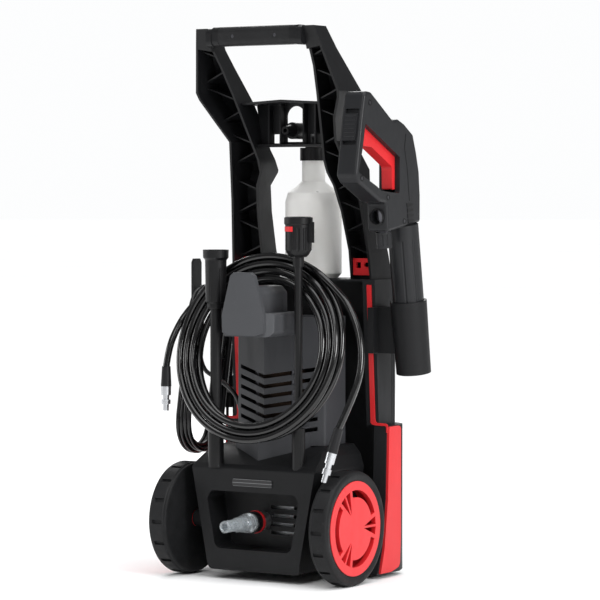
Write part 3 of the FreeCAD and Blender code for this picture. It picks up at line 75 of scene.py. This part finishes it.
def camera_and_stage():
    """Camera at the viewing angle, a plain pale floor and soft studio light."""
    data = bpy.data.cameras.new("camera")
    data.lens = CAMERA_LENS
    data.sensor_width = 36.0
    data.clip_end = 200.0
    camera = bpy.data.objects.new("camera", data)
    bpy.context.scene.collection.objects.link(camera)
    camera.location = CAMERA_SPOT
    aim = Vector(CAMERA_AIM) - camera.location
    camera.rotation_euler = aim.to_track_quat("-Z", "Y").to_euler()
    bpy.context.scene.camera = camera

    ring = [(FLOOR_RADIUS * math.cos(math.tau * k / FLOOR_SIDES),
             FLOOR_RADIUS * math.sin(math.tau * k / FLOOR_SIDES), 0.0) for k in range(FLOOR_SIDES)]
    mesh = bpy.data.meshes.new("floor")
    mesh.from_pydata(ring, [], [tuple(range(FLOOR_SIDES))])
    floor = bpy.data.objects.new("floor", mesh)
    floor.location.z = -0.0005
    bpy.context.scene.collection.objects.link(floor)
    mat, tree, bsdf = shader("floor_paper")
    tint(tree, bsdf, (0.93, 0.932, 0.935), 0.02, 1.5)
    bsdf.inputs["Roughness"].default_value = 0.9
    bsdf.inputs["Specular IOR Level"].default_value = 0.0
    floor.data.materials.append(mat)
    floor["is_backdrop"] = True

    world = bpy.data.worlds.new("studio")
    world.use_nodes = True
    tree = world.node_tree
    background = tree.nodes["Background"]
    background.inputs["Color"].default_value = (0.98, 0.985, 0.99, 1.0)
    rays = add(tree, "ShaderNodeLightPath")
    level = span(tree, rays.outputs["Is Camera Ray"], 0.24, 1.0, 0.0, 1.0)
    tree.links.new(level, background.inputs["Strength"])
    bpy.context.scene.world = world
    overhead = bpy.data.lights.new("overhead", "SUN")
    overhead.energy = 2.75
    overhead.angle = math.radians(70.0)
    above = bpy.data.objects.new("overhead", overhead)
    above.rotation_euler = Euler((math.radians(8.0), math.radians(12.0), 0.0))
    bpy.context.scene.collection.objects.link(above)
    lamps = [("key", (3.4, -0.9, 1.5), 80.0, 1.3), ("front", (0.6, -3.6, 2.4), 22.0, 1.0),
             ("back", (-1.8, 2.4, 2.2), 30.0, 1.5), ("left", (-2.8, -1.4, 1.0), 14.0, 0.8)]
    for name, spot, power, size in lamps:
        light = bpy.data.lights.new(name, "AREA")
        light.energy = power
        light.size = size
        lamp = bpy.data.objects.new(name, light)
        lamp.location = spot
        lamp.rotation_euler = (Vector((0, 0, 0.4)) - Vector(spot)).to_track_quat("-Z", "Y").to_euler()
        bpy.context.scene.collection.objects.link(lamp)
    bpy.context.scene.view_settings.view_transform = "Standard"


# ------------------------------------------------------------------ materials

def shader(name):
    """A new material with its node tree and its Principled shader."""
    mat = bpy.data.materials.new(name)
    mat.use_nodes = True
    tree = mat.node_tree
    return mat, tree, tree.nodes["Principled BSDF"]


def add(tree, kind, **values):
    """A new node with some of its inputs or properties set."""
    made = tree.nodes.new(kind)
    for key, value in values.items():
        if key in made.inputs:
            made.inputs[key].default_value = value
        else:
            setattr(made, key, value)
    return made


def place_of(tree, stretch=(1, 1, 1)):
    """Object coordinates, stretched along each axis."""
    coords = add(tree, "ShaderNodeTexCoord")
    mapping = add(tree, "ShaderNodeMapping", Scale=stretch)
    tree.links.new(coords.outputs["Object"], mapping.inputs["Vector"])
    return mapping.outputs["Vector"]


def noise(tree, scale, detail=3.0, stretch=(1, 1, 1), rough=0.55):
    """Noise that is fixed to the object, as a value from 0 to 1."""
    made = add(tree, "ShaderNodeTexNoise", Scale=scale, Detail=detail, Roughness=rough)
    tree.links.new(place_of(tree, stretch), made.inputs["Vector"])
    return made.outputs[0]


def span(tree, value, low, high, start=0.25, stop=0.75):
    """A value between start and stop spread over low to high."""
    made = add(tree, "ShaderNodeMapRange")
    for key, number in (("From Min", start), ("From Max", stop), ("To Min", low), ("To Max", high)):
        made.inputs[key].default_value = number
    tree.links.new(value, made.inputs["Value"])
    return made.outputs["Result"]


def mix(tree, factor, first, second):
    """Colour between two, each a plain colour or another node's output."""
    made = add(tree, "ShaderNodeMix", data_type="RGBA")
    tree.links.new(factor, made.inputs["Factor"])
    for socket, value in ((made.inputs[6], first), (made.inputs[7], second)):
        if isinstance(value, tuple):
            socket.default_value = value + (1.0,)
        else:
            tree.links.new(value, socket)
    return made.outputs[2]


def tint(tree, bsdf, colour, vary, scale):
    """Base colour that drifts a little lighter and darker over the surface."""
    dark = tuple(c * (1 - vary) for c in colour)
    pale = tuple(min(c * (1 + vary), 1.0) for c in colour)
    out = mix(tree, span(tree, noise(tree, scale), 0.0, 1.0), dark, pale)
    tree.links.new(out, bsdf.inputs["Base Color"])
    return out


def bump(tree, bsdf, heights):
    """Surface relief from several (value, depth in metres) pairs, one on another."""
    last = None
    for value, depth in heights:
        made = add(tree, "ShaderNodeBump", Strength=1.0, Distance=depth)
        tree.links.new(value, made.inputs["Height"])
        if last is not None:
            tree.links.new(last, made.inputs["Normal"])
        last = made.outputs["Normal"]
    tree.links.new(last, bsdf.inputs["Normal"])


def worn(tree, bsdf, colour, pale, amount, scale=260.0):
    """Fine pale scuffs over a colour."""
    marks = span(tree, noise(tree, scale, 5.0, (1, 1, 0.25)), 0.0, amount, 0.60, 0.72)
    out = mix(tree, marks, colour, pale)
    tree.links.new(out, bsdf.inputs["Base Color"])


def moulded(name, colour, rough, grain=1400.0, depth=0.00004, vary=0.14, coat=0.0, scuffs=0.25):
    """Moulded plastic with a fine spark-eroded grain, faint flow marks and a few scuffs."""
    mat, tree, bsdf = shader(name)
    base = tint(tree, bsdf, colour, vary, 11.0)
    worn(tree, bsdf, base, tuple(min(c * 1.6 + 0.008, 1.0) for c in colour), scuffs)
    flow = noise(tree, 38.0, 2.0, (1, 1, 0.3))
    tree.links.new(span(tree, flow, rough - 0.06, rough + 0.07), bsdf.inputs["Roughness"])
    bump(tree, bsdf, [(noise(tree, 55.0, 1.0), 0.00025), (noise(tree, grain, 2.0), depth)])
    bsdf.inputs["Coat Weight"].default_value = coat
    bsdf.inputs["Coat Roughness"].default_value = 0.12
    bsdf.inputs["Specular IOR Level"].default_value = 0.20
    return mat


def tyre_rubber():
    """Hard tyre: dusty dark grey with a mottled matt skin."""
    mat, tree, bsdf = shader("tyre_skin")
    base = tint(tree, bsdf, (0.010, 0.0102, 0.011), 0.25, 30.0)
    worn(tree, bsdf, base, (0.04, 0.04, 0.04), 0.25, 420.0)
    bsdf.inputs["Specular IOR Level"].default_value = 0.18
    tree.links.new(span(tree, noise(tree, 90.0), 0.42, 0.62), bsdf.inputs["Roughness"])
    bump(tree, bsdf, [(noise(tree, 160.0, 3.0), 0.00022), (noise(tree, 1800.0, 2.0), 0.00006)])
    return mat


def soft_rubber(name, colour, rough, cells=0.0):
    """Rubber or soft grip, with a pimpled skin where cells are asked for."""
    mat, tree, bsdf = shader(name)
    base = tint(tree, bsdf, colour, 0.2, 24.0)
    worn(tree, bsdf, base, tuple(c * 1.5 + 0.005 for c in colour), 0.3, 520.0)
    bsdf.inputs["Specular IOR Level"].default_value = 0.22
    tree.links.new(span(tree, noise(tree, 120.0), rough - 0.06, rough + 0.08), bsdf.inputs["Roughness"])
    heights = [(noise(tree, 1500.0, 2.0), 0.00005)]
    if cells:
        dots = add(tree, "ShaderNodeTexVoronoi", Scale=cells)
        tree.links.new(place_of(tree), dots.inputs["Vector"])
        heights.append((dots.outputs["Distance"], 0.0004))
    bump(tree, bsdf, heights)
    return mat


def cord_skin(name, colour, rough, gloss):
    """Glossy jacket of a hose or a lead, with faint lay marks and dull rubbed patches."""
    mat, tree, bsdf = shader(name)
    base = tint(tree, bsdf, colour, 0.25, 60.0)
    worn(tree, bsdf, base, tuple(c + 0.004 for c in colour), 0.2, 300.0)
    bsdf.inputs["Specular IOR Level"].default_value = 0.35
    tree.links.new(span(tree, noise(tree, 45.0), rough - 0.05, rough + 0.10), bsdf.inputs["Roughness"])
    bump(tree, bsdf, [(noise(tree, 900.0, 2.0), 0.00002), (noise(tree, 60.0, 1.0), 0.00015)])
    bsdf.inputs["Coat Weight"].default_value = gloss
    bsdf.inputs["Coat Roughness"].default_value = 0.10
    return mat


def metal(name, colour, rough, stretch, depth, mottled=0.12):
    """Metal whose fine lines run the way its surface was worked."""
    mat, tree, bsdf = shader(name)
    tint(tree, bsdf, colour, mottled, 22.0)
    bsdf.inputs["Metallic"].default_value = 1.0
    lines = noise(tree, 700.0, 4.0, stretch)
    tree.links.new(span(tree, lines, rough - 0.08, rough + 0.10), bsdf.inputs["Roughness"])
    bump(tree, bsdf, [(lines, depth)])
    return mat


def clear_plastic():
    """Clear moulded plastic, faintly blue, with swirl marks."""
    mat, tree, bsdf = shader("clear_moulding")
    tint(tree, bsdf, (0.80, 0.85, 0.88), 0.05, 60.0)
    bsdf.inputs["Transmission Weight"].default_value = 0.82
    bsdf.inputs["IOR"].default_value = 1.49
    tree.links.new(span(tree, noise(tree, 150.0), 0.06, 0.22), bsdf.inputs["Roughness"])
    bump(tree, bsdf, [(noise(tree, 90.0, 2.0), 0.0004)])
    return mat


def bottle_plastic():
    """Milky blown polyethylene with a slightly uneven wall."""
    mat, tree, bsdf = shader("milky_blown")
    tint(tree, bsdf, (0.93, 0.92, 0.89), 0.04, 16.0)
    bsdf.inputs["Subsurface Weight"].default_value = 0.35
    bsdf.inputs["Subsurface Radius"].default_value = (0.02, 0.02, 0.02)
    bsdf.inputs["Transmission Weight"].default_value = 0.25
    tree.links.new(span(tree, noise(tree, 30.0), 0.26, 0.40), bsdf.inputs["Roughness"])
    bump(tree, bsdf, [(noise(tree, 26.0, 2.0), 0.0012), (noise(tree, 900.0, 2.0), 0.00004)])
    return mat


def printed_plate():
    """Dark printed strip with fine pale ruled lines and no lettering."""
    mat, tree, bsdf = shader("ruled_plate")
    rows = add(tree, "ShaderNodeTexWave", Scale=60.0, Distortion=0.0, bands_direction="Z")
    tree.links.new(place_of(tree), rows.inputs["Vector"])
    lines = span(tree, rows.outputs["Fac"], 0.0, 1.0, 0.90, 0.97)
    out = mix(tree, lines, (0.012, 0.012, 0.013), (0.16, 0.165, 0.17))
    tree.links.new(out, bsdf.inputs["Base Color"])
    tree.links.new(span(tree, noise(tree, 200.0), 0.3, 0.45), bsdf.inputs["Roughness"])
    return mat


def make_looks():
    """Every material by the name used in LOOK_OF."""
    return {
        "tyre": tyre_rubber(),
        "hub_red": moulded("hub_red", (0.66, 0.020, 0.024), 0.34, 900.0, 0.00003, 0.06, 0.25, 0.06),
        "trim_red": moulded("trim_red", (0.62, 0.022, 0.026), 0.38, 1100.0, 0.00003, 0.07, 0.15, 0.08),
        "shell": moulded("shell_grey", (0.014, 0.0145, 0.016), 0.46, 1500.0, 0.00006, 0.12, 0.0, 0.15),
        "cover": moulded("cover_grey", (0.040, 0.041, 0.045), 0.46, 1500.0, 0.00006, 0.10, 0.0, 0.12),
        "base": moulded("base_grey", (0.008, 0.0082, 0.009), 0.44, 1400.0, 0.00005, 0.12, 0.0, 0.15),
        "arm": moulded("arm_grey", (0.007, 0.0072, 0.008), 0.40, 1400.0, 0.00004, 0.12, 0.05, 0.15),
        "hook": moulded("hook_grey", (0.060, 0.062, 0.067), 0.44, 1500.0, 0.00005, 0.08, 0.0, 0.12),
        "black": moulded("black_satin", (0.005, 0.005, 0.0055), 0.34, 1300.0, 0.00003, 0.15, 0.1, 0.15),
        "gun": moulded("gun_grey", (0.014, 0.0145, 0.016), 0.38, 1500.0, 0.00005, 0.10, 0.05, 0.15),
        "mark": moulded("pale_mark", (0.55, 0.56, 0.58), 0.45, 900.0, 0.00002, 0.06, 0.0, 0.05),
        "grip": soft_rubber("grip_rubber", (0.009, 0.0092, 0.010), 0.50, 620.0),
        "feet": soft_rubber("feet_rubber", (0.02, 0.02, 0.02), 0.7, 300.0),
        "sleeve": soft_rubber("sleeve_rubber", (0.009, 0.009, 0.010), 0.42),
        "hose": cord_skin("hose_jacket", (0.003, 0.003, 0.0033), 0.16, 0.5),
        "lead": cord_skin("lead_jacket", (0.004, 0.004, 0.0045), 0.28, 0.2),
        "clear": clear_plastic(),
        "bottle": bottle_plastic(),
        "plate": printed_plate(),
        "steel": metal("turned_steel", (0.56, 0.57, 0.59), 0.30, (0.05, 1, 1), 0.00004),
        "tube": metal("dark_screw_steel", (0.10, 0.10, 0.11), 0.34, (1, 1, 0.03), 0.00003),
        "cast": metal("cast_aluminium", (0.60, 0.61, 0.63), 0.45, (1, 1, 1), 0.00020),
        # Copper of the motor windings darkened almost to black: painted shade for the dark inside of the
        # motor behind the louvres
        "windings_painted_shade": metal("wound_core_painted_shade", (0.025, 0.017, 0.013), 0.42, (1, 1, 6.0), 0.00020, 0.4),
    }


LOOK_OF = {
    "tyre": "left_tyre right_tyre",
    "hub_red": "left_hub right_hub",
    "trim_red": "side_trims inlet_red_ring arm_clips gun_trigger",
    "shell": "front_shell",
    "cover": "motor_cover",
    "base": "base_housing gun_holder",
    "arm": "left_frame_arm right_frame_arm cross_brace handle_bar cable_hook",
    "hook": "hose_hook",
    "black": "inlet_collar bottle_cap foam_nozzle lance_holders turbo_lance turbo_head spray_head "
             "power_knob switch_box lead_gland mains_plug cooling_fan spray_lance",
    "gun": "gun_body gun_barrel gun_lock_slide gun_inlet_nut",
    "grip": "handle_grip",
    "feet": "front_feet",
    "sleeve": "hose_sleeves",
    "clear": "inlet_tail",
    "bottle": "detergent_bottle",
    "plate": "rating_plate",
    "steel": "wheel_axles motor_bearings pump_pistons wobble_plate inlet_filter hose_plugs",
    "tube": "grip_screws motor_frame gun_valve",
    "cast": "pump_head pressure_outlet",
    "windings_painted_shade": "motor_stator motor_rotor",
}
SOFT_EDGES = {
    "front_shell": 1.2, "motor_cover": 1.2, "base_housing": 2.0, "hose_hook": 1.6, "gun_holder": 1.0,
    "left_frame_arm": 0.9, "right_frame_arm": 0.9, "cross_brace": 0.8, "handle_bar": 0.8,
    "cable_hook": 1.2, "gun_body": 1.4, "gun_barrel": 0.6, "gun_trigger": 0.8, "gun_lock_slide": 0.5,
    "side_trims": 0.7, "left_hub": 0.7, "right_hub": 0.7, "left_tyre": 0.8, "right_tyre": 0.8,
    "spray_head": 0.6, "turbo_head": 0.6, "bottle_cap": 0.6, "foam_nozzle": 0.7, "inlet_tail": 0.7,
    "inlet_collar": 0.5, "power_knob": 0.9, "mains_plug": 1.0, "lance_holders": 0.7,
    "pressure_outlet": 0.6, "gun_inlet_nut": 0.5, "detergent_bottle": 0.6,
    "arm_clips": 0.5, "rating_plate": 0.3,
}


def dress_nodes(looks):
    """Materials and softened edges for every CAD node that shows."""
    for look, names in LOOK_OF.items():
        for name in names.split():
            for holder in NODES[name].material_slots:
                holder.material = looks[look]
    for name, width in SOFT_EDGES.items():
        soften(NODES[name], width)


def soften(obj, width, angle=32.0):
    """Small rounded edges, so that every edge catches the light as a moulded one does."""
    weld = obj.modifiers.new("weld", "WELD")
    weld.merge_threshold = 0.000005
    edge = obj.modifiers.new("edge", "BEVEL")
    edge.width = width / 1000
    edge.segments = 2
    edge.limit_method = "ANGLE"
    edge.angle_limit = math.radians(angle)
    edge.use_clamp_overlap = True
    edge.harden_normals = False
    smooth = obj.modifiers.new("normals", "WEIGHTED_NORMAL")
    smooth.keep_sharp = False


# ------------------------------------------------------------------ hose and mains lead

HOSE_GUN_ROUTE = [(118.0, -3.0, 452.0), (150.0, -6.0, 424.0), (175.0, -12.0, 380.0), (184.0, -22.0, 330.0),
                  (176.0, -35.0, 284.0), (160.0, -48.0, 240.0)]
HOSE_OUTLET_ROUTE = [(-134.0, -20.0, 402.0), (-147.0, -30.0, 376.0), (-153.0, -40.0, 348.0),
                     (-154.0, -45.0, 322.0)]
LEAD_ROUTE = [(-92.0, 72.0, 232.0), (-94.0, 70.0, 262.0), (-110.0, 64.0, 286.0), (-136.0, 62.0, 300.0),
              (-166.0, 60.0, 312.0)]
PLUG_ROUTE = [(-178.0, 154.0, 372.0), (-177.0, 166.0, 350.0), (-177.0, 170.0, 322.0),
              (-178.0, 168.0, 296.0)]
HOSE_DIAMETER = 0.0105
LEAD_DIAMETER = 0.0068


def cord_curve(name, points, diameter, look):
    """A round cord along one smooth open spline."""
    data = bpy.data.curves.new(name, "CURVE")
    data.dimensions = "3D"
    data.bevel_depth = diameter / 2
    data.bevel_resolution = 5
    data.resolution_u = 6
    data.use_fill_caps = True
    spline = data.splines.new("NURBS")
    spline.points.add(len(points) - 1)
    for control, point in zip(spline.points, points):
        control.co = (*metres(point), 1.0)
    spline.order_u = 3
    spline.use_endpoint_u = True
    data.materials.append(look)
    cord = bpy.data.objects.new(name, data)
    bpy.context.scene.collection.objects.link(cord)
    return cord


COIL_CENTRE = (8.0, -28.0, 350.0)
COIL_TILT = 14.0
COIL_ZERO, COIL_FIRST, COIL_LAST = 43.7, 60.0, 43.7 + 360 * 5 + 106
COIL_STEP = 22.0
COIL_OUTSIDE, COIL_INSIDE = 150.0, 112.2
INNER_TURN = 3.15
LAYER_GAP = 11.2


def coil_points():
    """Turns of the hose on the hook: a spiral inwards in the rear layer, then outwards in front."""
    centre = Vector(COIL_CENTRE)
    tilt = math.radians(COIL_TILT)
    up = Vector((0.0, math.sin(tilt), math.cos(tilt)))
    depth = Vector((0.0, math.cos(tilt), -math.sin(tilt)))
    points = []
    angle = COIL_FIRST
    while angle < COIL_LAST:
        turn = (angle - COIL_ZERO) / 360
        if turn < INNER_TURN:
            radius = COIL_OUTSIDE - 12.0 * turn
        else:
            radius = COIL_INSIDE + 17.6 * (turn - INNER_TURN)
        layer = LAYER_GAP * (min(max((turn - INNER_TURN + 0.1) / 0.35, 0.0), 1.0) - 0.5)
        rad = math.radians(angle)
        low = (1 - math.sin(rad)) / 2
        radius += 1.3 * math.sin(5.1 * turn + 0.8) * low
        layer += 0.7 * math.sin(3.3 * turn + 2.0)
        flat = centre + Vector((1, 0, 0)) * (radius * math.cos(rad)) + up * (radius * math.sin(rad))
        points.append(tuple(flat + depth * layer))
        angle += COIL_STEP
    return points


def hank_points():
    """Turns of the lead on its hook, hung as long loops in two layers, four side by side."""
    lean = math.radians(-11.0)
    points = []
    for turn in range(8):
        layer = turn // 4
        column = turn % 4 if layer == 0 else 3 - turn % 4
        across = -167.5 - 7.0 * column
        half = 45.8 - 7.2 * layer + 0.6 * math.sin(2.1 * column)
        top = 14.6 - 7.2 * layer
        bottom = -250.0 + 7.2 * layer + 2.5 * math.sin(1.7 * column + 0.6)
        outline = [(-half, -105.0), (-half, -70.0), (-half, top - half - 5)]
        for angle in range(150, -1, -30):
            rad = math.radians(angle)
            outline.append((half * math.cos(rad), top - half + half * math.sin(rad)))
        outline += [(half, top - half - 20), (half, -90.0), (half, -140.0)]
        for angle in range(0, -181, -30):
            rad = math.radians(angle)
            outline.append((half * math.cos(rad), bottom + half + half * math.sin(rad)))
        outline += [(-half, bottom + half + 25), (-half, -150.0)]
        if turn == 0:
            outline = outline[1:]
        if turn == 7:
            outline = outline[:7]
        for along, rise in outline:
            points.append((across,
                           119.0 + along * math.cos(lean) - rise * math.sin(lean),
                           427.0 + along * math.sin(lean) + rise * math.cos(lean)))
    return points


def hose_and_lead(looks):
    """The high-pressure hose and the mains lead as round cords on splines, in place of the hidden CAD hose
    and lead.
    """
    path = list(reversed(HOSE_GUN_ROUTE)) + coil_points()
    path += [(-137.6, -11.8, 406.6)] + HOSE_OUTLET_ROUTE[1:]
    hose = cord_curve("pressure_hose", path, HOSE_DIAMETER, looks["hose"])
    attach(hose, "chassis")
    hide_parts("hose_coil", "hose_gun_end", "hose_outlet_end")
    tuple(metres(path[0]))

    path = LEAD_ROUTE[:-1] + [(-158.0, 57.0, 313.0)] + hank_points()
    path += [(-164.0, 150.5, 408.0), (-161.0, 161.0, 388.0), (-166.0, 168.5, 364.0),
             (-175.0, 171.0, 340.0)] + PLUG_ROUTE[2:]
    lead = cord_curve("mains_lead", path, LEAD_DIAMETER, looks["lead"])
    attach(lead, "chassis")
    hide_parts("lead_run", "lead_tail", "lead_hank")
    tuple(metres(LEAD_ROUTE[0]))


# ------------------------------------------------------------------ small fittings

GUN_PLACE = Matrix.Translation((0.185, 0.060, 0.424)) @ Matrix.Rotation(math.radians(8.5), 4, "X")
GUN_FACE = 18.0
GUN_PORT_FACE = -75.0
LANCE_AXIS = (75.0, -26.0)
MARK_START, MARK_SWEEP, MARK_STEPS = 217.0, 60.0, 14
MARK_SECTION = [(20.1, 530.5), (20.8, 530.5), (20.8, 538.0), (20.1, 538.0)]
DIAL_HEIGHT = 0.380
TICK_INNER, TICK_OUTER, TICK_HALF, TICK_DEPTH = 0.0275, 0.0320, 0.0007, 0.0003
GUN_PORT = (0.0, 141.0)
PORT_RIM = [(13.2, -0.5), (13.0, 0.9), (11.2, 1.2), (10.7, -0.5)]
SCREW_RIM = [(4.6, -0.4), (4.4, 0.5), (3.3, 0.5), (2.9, -0.3)]
SCREW_HEX = 2.7
TEETH_START = 122.0
TEETH_PITCH = 8.0
GUN_GROOVE_SHADE_STRIP = [(-1.2, 256.0), (-7.8, 236.0), (-4.4, 202.0), (-4.9, 155.0)]
GUN_SCREWS = [(-97.0, 315.0), (-136.0, 208.0), (-65.8, 169.4), (-24.0, 127.0)]


def on_gun(across, along, up):
    """A point of the gun's own frame, in metres in the frame of the part."""
    return GUN_PLACE @ Vector((across / 1000, along / 1000, up / 1000))


def fitting(name, points, faces, body, look, slot):
    """A small moulded detail that rides a body."""
    mesh = bpy.data.meshes.new(name)
    mesh.from_pydata([tuple(point) for point in points], [], faces)
    work = bmesh.new()
    work.from_mesh(mesh)
    bmesh.ops.recalc_face_normals(work, faces=work.faces)
    work.to_mesh(mesh)
    work.free()
    made = bpy.data.objects.new(name, mesh)
    bpy.context.scene.collection.objects.link(made)
    mesh.materials.append(look)
    for face in mesh.polygons:
        face.use_smooth = False
    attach(made, body)
    return made


def slab_of(outline, near, far, put):
    """Points and faces of a flat plate with the given outline, between two depths."""
    count = len(outline)
    points = [put(near, u, v) for u, v in outline] + [put(far, u, v) for u, v in outline]
    faces = [tuple(reversed(range(count))), tuple(range(count, 2 * count))]
    faces += [(k, (k + 1) % count, count + (k + 1) % count, count + k) for k in range(count)]
    return points, faces


def ring_of(centre, profile, put, count=40):
    """Points and faces of a ring turned from (radius, depth) pairs about an axis through centre."""
    points = []
    for k in range(count):
        angle = math.tau * k / count
        for radius, depth in profile:
            points.append(put(depth, centre[0] + radius * math.cos(angle),
                              centre[1] + radius * math.sin(angle)))
    size = len(profile)
    faces = []
    for k in range(count):
        here, after = k * size, (k + 1) % count * size
        for j in range(size):
            step = (j + 1) % size
            faces.append((here + j, after + j, after + step, here + step))
    return points, faces


def merged(shapes):
    """Points and faces of several shapes as one."""
    points, faces = [], []
    for more, sides in shapes:
        start = len(points)
        faces += [tuple(start + corner for corner in side) for side in sides]
        points += more
    return points, faces


def ribbon(line, half):
    """Outline of a line drawn with a constant width."""
    left, right = [], []
    for k, point in enumerate(line):
        before, after = line[max(k - 1, 0)], line[min(k + 1, len(line) - 1)]
        run = Vector((after[0] - before[0], after[1] - before[1])).normalized()
        left.append((point[0] - run.y * half, point[1] + run.x * half))
        right.append((point[0] + run.y * half, point[1] - run.x * half))
    return left + list(reversed(right))


def polygon_round(centre, radius, sides):
    """Corners of a regular polygon."""
    return [(centre[0] + radius * math.cos(math.tau * k / sides),
             centre[1] + radius * math.sin(math.tau * k / sides)) for k in range(sides)]


def gun_details(looks):
    """Low bead along the groove, its darker plastic painted shade of the groove, thumb serrations, screw
    rims and the ring round the rear port of the gun.
    """
    for side in (1, -1):
        face = GUN_FACE * side
        tag = "near" if side > 0 else "far"

        def put(depth, along, up, face=face, side=side):
            return on_gun(face + depth * side, along, up)

        # Low bead of darker plastic along the groove beside the spine: the dark colour is painted shade of
        # the groove
        points, faces = slab_of(ribbon(GUN_GROOVE_SHADE_STRIP, 0.7), -0.5, 0.35, put)
        fitting("gun_groove_shade_strip_" + tag, points, faces, "gun", looks["black"], "black_plastic")
        teeth = []
        for k in range(4):
            low = TEETH_START + TEETH_PITCH * k
            teeth.append(slab_of([(-14.0, low), (3.5, low + 1.0), (3.5, low + 3.6), (-14.0, low + 6.6)],
                                 -0.5, 0.7, put))
        fitting("gun_serrations_" + tag, *merged(teeth), "gun", looks["black"], "black_plastic")
        rims = [ring_of(centre, SCREW_RIM, put, 28) for centre in GUN_SCREWS]
        fitting("gun_screw_rims_" + tag, *merged(rims), "gun", looks["black"], "black_plastic")
        heads = [slab_of(polygon_round(centre, SCREW_HEX, 6), -0.3, 0.15, put)
                 for centre in GUN_SCREWS]
        fitting("gun_screws_" + tag, *merged(heads), "gun", looks["tube"], "steel")
    points, faces = ring_of(GUN_PORT, PORT_RIM,
                            lambda depth, across, up: on_gun(across, GUN_PORT_FACE - depth, up))
    fitting("gun_port_ring", points, faces, "gun", looks["black"], "black_plastic")


def trim_links(looks):
    """Red S-shaped strip that carries each stripe over the step to the skin of the skirt."""
    outline = [(119.0, 243.0), (127.0, 243.0), (127.6, 239.0), (130.0, 236.6), (145.0, 236.2),
               (148.6, 234.8), (149.6, 231.0), (149.6, 222.0), (146.9, 222.0), (146.8, 230.4),
               (145.0, 232.4), (128.0, 232.6), (122.0, 233.6), (119.0, 236.8)]
    for side, tag in ((1, "right"), (-1, "left")):
        points, faces = slab_of(outline, 110.2, 112.0, lambda y, x, z, side=side: metres((x * side, y, z)))
        if side < 0:
            faces = [tuple(reversed(face)) for face in faces]
        fitting("trim_link_" + tag, points, faces, "chassis", looks["trim_red"], "red_plastic")


def nozzle_mark(looks):
    """Red index patch wrapped on the collar of the spray head."""
    points, faces = [], []
    for k in range(MARK_STEPS + 1):
        angle = math.radians(MARK_START + MARK_SWEEP * k / MARK_STEPS)
        for radius, height in MARK_SECTION:
            points.append(metres((LANCE_AXIS[0] + radius * math.cos(angle),
                                  LANCE_AXIS[1] + radius * math.sin(angle), height)))
    for k in range(MARK_STEPS):
        for j in range(4):
            step = (j + 1) % 4
            faces.append((k * 4 + j, (k + 1) * 4 + j, (k + 1) * 4 + step, k * 4 + step))
    last = MARK_STEPS * 4
    faces += [(0, 1, 2, 3), (last + 3, last + 2, last + 1, last)]
    fitting("nozzle_mark", points, faces, "spray_head_body", looks["trim_red"], "red_plastic")


def dial_ticks(looks):
    """Pale ticks round the switch knob on the front of the shell."""
    front = NODES["front_shell"]
    face = max((front.matrix_world @ vertex.co).y for vertex in front.data.vertices)
    points, faces = [], []
    for k in range(7):
        angle = math.radians(-30.0 + 40.0 * k)
        run = Vector((math.cos(angle), math.sin(angle)))
        wide = Vector((-run.y, run.x)) * TICK_HALF
        corners = [run * TICK_INNER - wide, run * TICK_OUTER - wide,
                   run * TICK_OUTER + wide, run * TICK_INNER + wide]
        start = len(points)
        for depth in (-TICK_DEPTH, TICK_DEPTH):
            points += [Vector((c.x, face + depth, DIAL_HEIGHT + c.y)) for c in corners]
        faces += [(start, start + 1, start + 2, start + 3),
                  (start + 7, start + 6, start + 5, start + 4)]
        for j in range(4):
            after = (j + 1) % 4
            faces.append((start + j, start + 4 + j, start + 4 + after, start + after))
    fitting("dial_ticks", points, faces, "chassis", looks["mark"], "label")


# ------------------------------------------------------------------ whole scene

looks = make_looks()
camera_and_stage()
dress_nodes(looks)
hose_and_lead(looks)
gun_details(looks)
trim_links(looks)
nozzle_mark(looks)
dial_ticks(looks)

plain = [[[float(v) for v in corner] for corner in box] for box in (cad_box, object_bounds())]
